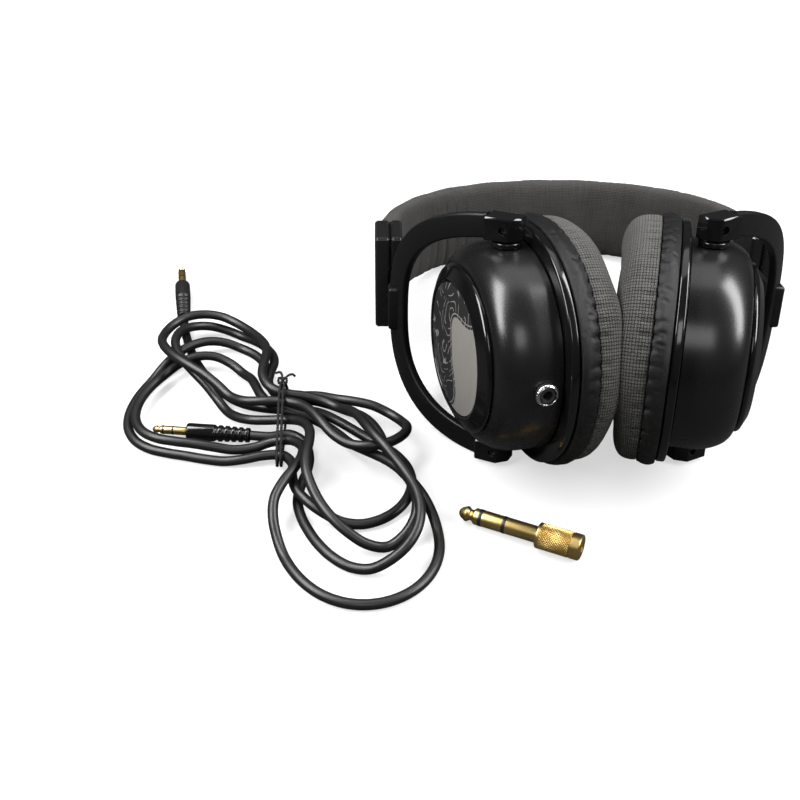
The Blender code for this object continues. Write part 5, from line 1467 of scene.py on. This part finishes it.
def knurled(end, columns=300):
    """Adapter's sleeve: two families of helical grooves cross in diamonds between its collars."""
    start, radius = ADAPTER_SHAFT, ADAPTER_SLEEVE_RADIUS
    along = np.concatenate([np.linspace(start, start + 1.6, 8), np.linspace(start + 1.7, end - 4.2, 110),
                            np.linspace(end - 4.1, end, 16)])
    angle = np.arange(columns) / columns * KNURL_PITCHES
    x = along[:, None] / (TAU * radius / KNURL_PITCHES)
    first, second = (1.0 - np.abs(2 * np.mod(helix, 1.0) - 1.0)
                     for helix in (angle[None] + x, angle[None] - x))
    diamond = np.clip(np.minimum(first, second) * 1.6, 0.0, 0.85) / 0.85
    depth = bpy.context.scene.headphone_lead.knurl / MM
    cutting = ((along > start + 1.65) & (along < end - 4.15))[:, None]
    groove = np.abs(along - (end - 3.9)) < 0.25
    skin = radius - depth * (1.0 - diamond) * cutting - 0.5 * groove[:, None]
    to_end = np.minimum(along - start, end - along)
    skin = skin - (0.6 * np.clip(1.0 - to_end / 0.6, 0.0, 1.0) ** 2)[:, None]
    c, s = circle(columns)
    return np.stack([np.broadcast_to(along[:, None], skin.shape), skin * c, skin * s], axis=-1)


def from_tip(profile):
    """Profile along the adapter, turned about to start at its tip."""
    return np.column_stack([ADAPTER_SHAFT - profile[:, 0], profile[:, 1]])


def adapter_rings(columns=300):
    """Large plug's contact, the knurled sleeve and the socket bored into its end."""
    end = ADAPTER_SHAFT + ADAPTER_SLEEVE
    shaft = contact_profile(0.0, ADAPTER_SHAFT, ADAPTER_RADIUS)[::-1]
    shaft = from_tip(shaft[:-3] if shaft[-1, 1] < 0.1 else shaft)
    bore, floor = CONTACT_RADIUS + GAP / 3, end - ADAPTER_BORE_DEPTH
    inner = filleted([(end, ADAPTER_SLEEVE_RADIUS - 0.6), (end, bore), (floor, bore), (floor, AXIS)],
                     0.3, 3)
    return np.concatenate([turned(shaft, columns), knurled(end, columns), turned(inner[1:], columns)])


def at_adapter(points):
    """Adapter's frame to the frame's own: it leans on its tip and its sleeve."""
    rise = math.atan2(ADAPTER_SLEEVE_RADIUS - ADAPTER_RADIUS, ADAPTER_SHAFT + 0.6)
    place = Matrix.Translation((ADAPTER_TIP[0] * MM, ADAPTER_TIP[1] * MM, ADAPTER_RADIUS * MM))
    place = place @ Matrix.Rotation(ADAPTER_HEADING, 4, "Z") @ Matrix.Rotation(-rise, 4, "Y")
    turn = np.array(place)
    return (points * MM) @ turn[:3, :3].T + turn[:3, 3]


def tie_loop(leads, reach, x, count=260):
    """Closed loop round the leads at one x: their outline moved out, evenly spaced."""
    normal = np.stack(circle(720), axis=-1)
    held = leads[np.argmax(leads @ normal.T, axis=0)] + normal * (LEAD_RADIUS + reach)
    ring = evened(np.vstack([held, held[:1]]), count + 1)[:-1]
    return np.column_stack([np.full(count, x), ring])


def two_ply(path, radius, twists, reference, wrap=False):
    """Two-strand thread along a path, turning as it goes."""
    count, angle = len(path), TAU * np.arange(12) / 12
    phase = TAU * twists * np.arange(count)[:, None] / count
    skin = radius * MM * (0.80 + 0.20 * np.cos(2 * (angle[None] - phase)))
    section = np.stack([skin * np.cos(angle), skin * np.sin(angle)], axis=-1)
    return add_surface("strand", carried(path, section, reference, wrap), None, wrap)


def tie_strands(route):
    """Tie round the hank's waist: two turns, a knot on top and its two free ends."""
    dense = evened(route, round(path_length(route) / (LEAD_RADIUS / 4)))
    held = np.abs(dense[:, 0] - WAIST[0]) < TIE_WIDTH
    held &= np.abs(dense[:, 1] - WAIST[1]) < 4 * WAIST_STEP
    turns = [tie_loop(dense[held, 1:], 0.9 * MM, WAIST[0] + offset * MM) for offset in (-0.8, 0.75, 0.0)]
    top = turns.pop()
    strands = [two_ply(turn, STRAND_RADIUS, STRAND_TWISTS, (1.0, 0.0, 0.0), True) for turn in turns]
    knot_at = top[np.argmax(top[:, 2] + 0.35 * top[:, 1])]
    turn = TAU * np.arange(90) / 90
    knot = np.column_stack([1.7 * np.cos(turn), 1.5 * np.sin(turn) * np.cos(turn) + 0.4,
                            0.9 * np.sin(2 * turn) + 1.0])
    strands.append(two_ply(knot_at + MM * knot, 0.6, 8, (0.0, 0.3, 1.0), True))
    t = np.linspace(0.0, 1.0, 40)[:, None]
    for across, reach in ((-3.5, 9.0), (4.5, 7.0)):
        end = (t * (across, 0, 0) + t ** 0.8 * (0, reach, 0) + (0, 0, 1.0)
               + np.sin(t * math.pi) * (0.8, 0, 1.0) - t ** 2 * (0, 0, 3.2))
        strands.append(two_ply(knot_at + MM * end, 0.55, 6, UP))
    return strands


class HEADPHONES_OT_lead(bpy.types.Operator):
    """Lead in its tied hank, plugs, adapter and tie"""

    bl_idname = "headphones.lead"
    bl_label = "Lead"

    def execute(self, context):
        looks, body = finishes(), "headband"

        def joined(name, parts, look, slot, *nodes):
            return seat(gathered(name, parts, looks[look]), body, slot, *nodes)

        route = lead_route()
        fine = smoothed(route)
        fine[:, 2] = np.maximum(fine[:, 2], LEAD_RADIUS)
        hank = dress("lead", carried(fine, disc(LEAD_RADIUS, 18), UP), "cable_rubber", body,
                     "cable_hank", crease=60.0)
        foot = GAP + RELIEF_LENGTH + PLUG_BARREL + GAP
        contact = foot, foot + CONTACT_LENGTH, CONTACT_RADIUS
        on_lead = []
        for label, plug, finish in (("a", PLUG_A, "gloss_black"), ("b", PLUG_B, "cable_rubber")):
            name = f"plug_{label}"
            on_lead += [
                dress(f"{name}_moulding", at_plug(plug, turned(relief_profile(), 56)), "cable_rubber",
                      body, f"{name}_body", crease=40.0, finish=finish),
                dress(f"{name}_pin", at_plug(plug, turned(contact_profile(*contact), 48)), "gold", body,
                      f"{name}_contact", crease=40.0)]
            rings = [add_surface("ring", at_plug(plug, turned(ring, 40)), None, True)
                     for ring in insulator_rings(*contact)]
            on_lead.append(joined(f"{name}_rings", rings, "insulator", "driver_plastic"))
        on_lead.append(dress("adapter_plug", at_adapter(adapter_rings()), "gold", body, "adapter",
                             crease=30.0))
        rings = [add_surface("ring", at_adapter(turned(from_tip(ring), 56)), None, True)
                 for ring in insulator_rings(0.0, ADAPTER_SHAFT, ADAPTER_RADIUS)]
        on_lead.append(joined("adapter_rings", rings, "insulator", "driver_plastic"))
        on_lead.append(joined("tie_cord", tie_strands(route), "tie", "tie", "cable_tie"))
        return {"FINISHED"}


# ================================================================ what stays as packed
class HEADPHONES_OT_inside(bpy.types.Operator):
    """Finishes for the pieces whose packed shape is right"""

    bl_idname = "headphones.inside"
    bl_label = "Drivers, guides and screws"

    def execute(self, context):
        looks = finishes()
        slots = {row["node"]: row["material_slot"] for row in frame["record"]["subparts"]}
        for name, node in frame["nodes"].items():
            node.data.materials.clear()
            node.data.materials.append(looks[slots[name]])
        return {"FINISHED"}


# ================================================================ stage
def posed(right, up, back, place):
    """Matrix of an object from its three axes and its place."""
    turn = np.eye(4)
    turn[:3] = np.column_stack([right, up, back, place])
    return Matrix(turn.tolist())


def lamp(name, power, size, place):
    """Softbox aimed at the target, its long side upright in the picture."""
    data = bpy.data.lights.new(name, "AREA")
    data.shape = "RECTANGLE"
    data.energy, data.size, data.size_y = power, *size
    away = np.subtract(place, LAMP_TARGET)
    away /= np.linalg.norm(away)
    across = np.cross(CAMERA_UP, away)
    across /= np.linalg.norm(across)
    linked(name, data).matrix_world = posed(across, np.cross(away, across), away, place)


class HEADPHONES_OT_stage(bpy.types.Operator):
    """Pale floor, soft lights and the camera"""

    bl_idname = "headphones.stage"
    bl_label = "Stage"

    def execute(self, context):
        scene = context.scene
        settings = scene.headphone_stage
        far, white = FLOOR_HALF, rgb((1.0, 1.0, 1.0))
        mesh = bpy.data.meshes.new("floor")
        mesh.from_pydata([(-far, -far, 0), (far, -far, 0), (far, far, 0), (-far, far, 0)], [],
                         [(0, 1, 2, 3)])
        look = Look("floor", roughness=0.9, specular_ior_level=0.1)
        seen = look.node("ShaderNodeLightPath", output="Is Camera Ray")
        look.set("Base Color", look.mix(seen, rgb([FLOOR_BOUNCE] * 3), rgb(settings.floor)))
        glow = look.node("ShaderNodeEmission", None, {"Color": white, "Strength": FLOOR_GLOW})
        lit = Link(look, look.shader.outputs[0])
        blend = look.node("ShaderNodeMixShader", None, {0: seen * 0.5, 1: lit, 2: glow})
        output = next(n for n in look.tree.nodes if n.type == "OUTPUT_MATERIAL")
        look.tree.links.new(blend.socket, output.inputs["Surface"])
        add_piece("floor", mesh, look.material)

        world = bpy.data.worlds.new("studio")
        scene.world = world
        world.use_nodes = True
        tree = world.node_tree
        tint = tree.nodes.new("ShaderNodeMix")
        tint.data_type = "RGBA"
        tint.inputs[6].default_value = rgb([WORLD_BOUNCE] * 3)
        tint.inputs[7].default_value = white
        tree.links.new(tree.nodes.new("ShaderNodeLightPath").outputs["Is Camera Ray"], tint.inputs[0])
        tree.links.new(tint.outputs[2], tree.nodes["Background"].inputs["Color"])

        for name, power, size, place in LAMPS:
            lamp(name, getattr(settings, power), size, place)

        data = bpy.data.cameras.new("camera")
        data.sensor_width = 36.0
        data.lens = data.sensor_width * FOCAL_PIXELS / PHOTO_PIXELS
        data.clip_start, data.clip_end = 0.01, 20.0
        scene.camera = linked("camera", data)
        back = np.negative(CAMERA_LOOK)
        scene.camera.matrix_world = posed(CAMERA_RIGHT, CAMERA_UP, back, CAMERA_PLACE)
        scene.view_settings.view_transform = "Standard"
        return {"FINISHED"}


# ================================================================ panel
OPERATORS = (HEADPHONES_OT_stage, HEADPHONES_OT_lead, HEADPHONES_OT_inside, HEADPHONES_OT_cups,
             HEADPHONES_OT_cushions, HEADPHONES_OT_yokes, HEADPHONES_OT_headband, HEADPHONES_OT_jack)
SETTINGS = (("headphone_shell", ShellSettings), ("headphone_fabric", FabricSettings),
            ("headphone_lead", LeadSettings), ("headphone_stage", StageSettings))


class HEADPHONES_PT_panel(bpy.types.Panel):
    """Settings and steps of the headphones"""

    bl_idname = "HEADPHONES_PT_panel"
    bl_label = "Headphones"
    bl_space_type = "VIEW_3D"
    bl_region_type = "UI"
    bl_category = "Headphones"

    def draw(self, context):
        for pointer, group in SETTINGS:
            box = self.layout.box()
            box.label(text=group.__doc__.strip("."))
            for key in group.__annotations__:
                box.prop(getattr(context.scene, pointer), key)
        for operator in OPERATORS:
            self.layout.operator(operator.bl_idname)


def register():
    for group in SETTINGS:
        bpy.utils.register_class(group[1])
        setattr(bpy.types.Scene, group[0], bpy.props.PointerProperty(type=group[1]))
    for made in (*OPERATORS, HEADPHONES_PT_panel):
        bpy.utils.register_class(made)


def unregister():
    for made in reversed((*OPERATORS, HEADPHONES_PT_panel)):
        bpy.utils.unregister_class(made)
    for group in reversed(SETTINGS):
        delattr(bpy.types.Scene, group[0])
        bpy.utils.unregister_class(group[1])


def main():
    register()
    for operator in OPERATORS:
        group, name = operator.bl_idname.split(".")
        getattr(getattr(bpy.ops, group), name)()


if __name__ == "__main__":
    main()
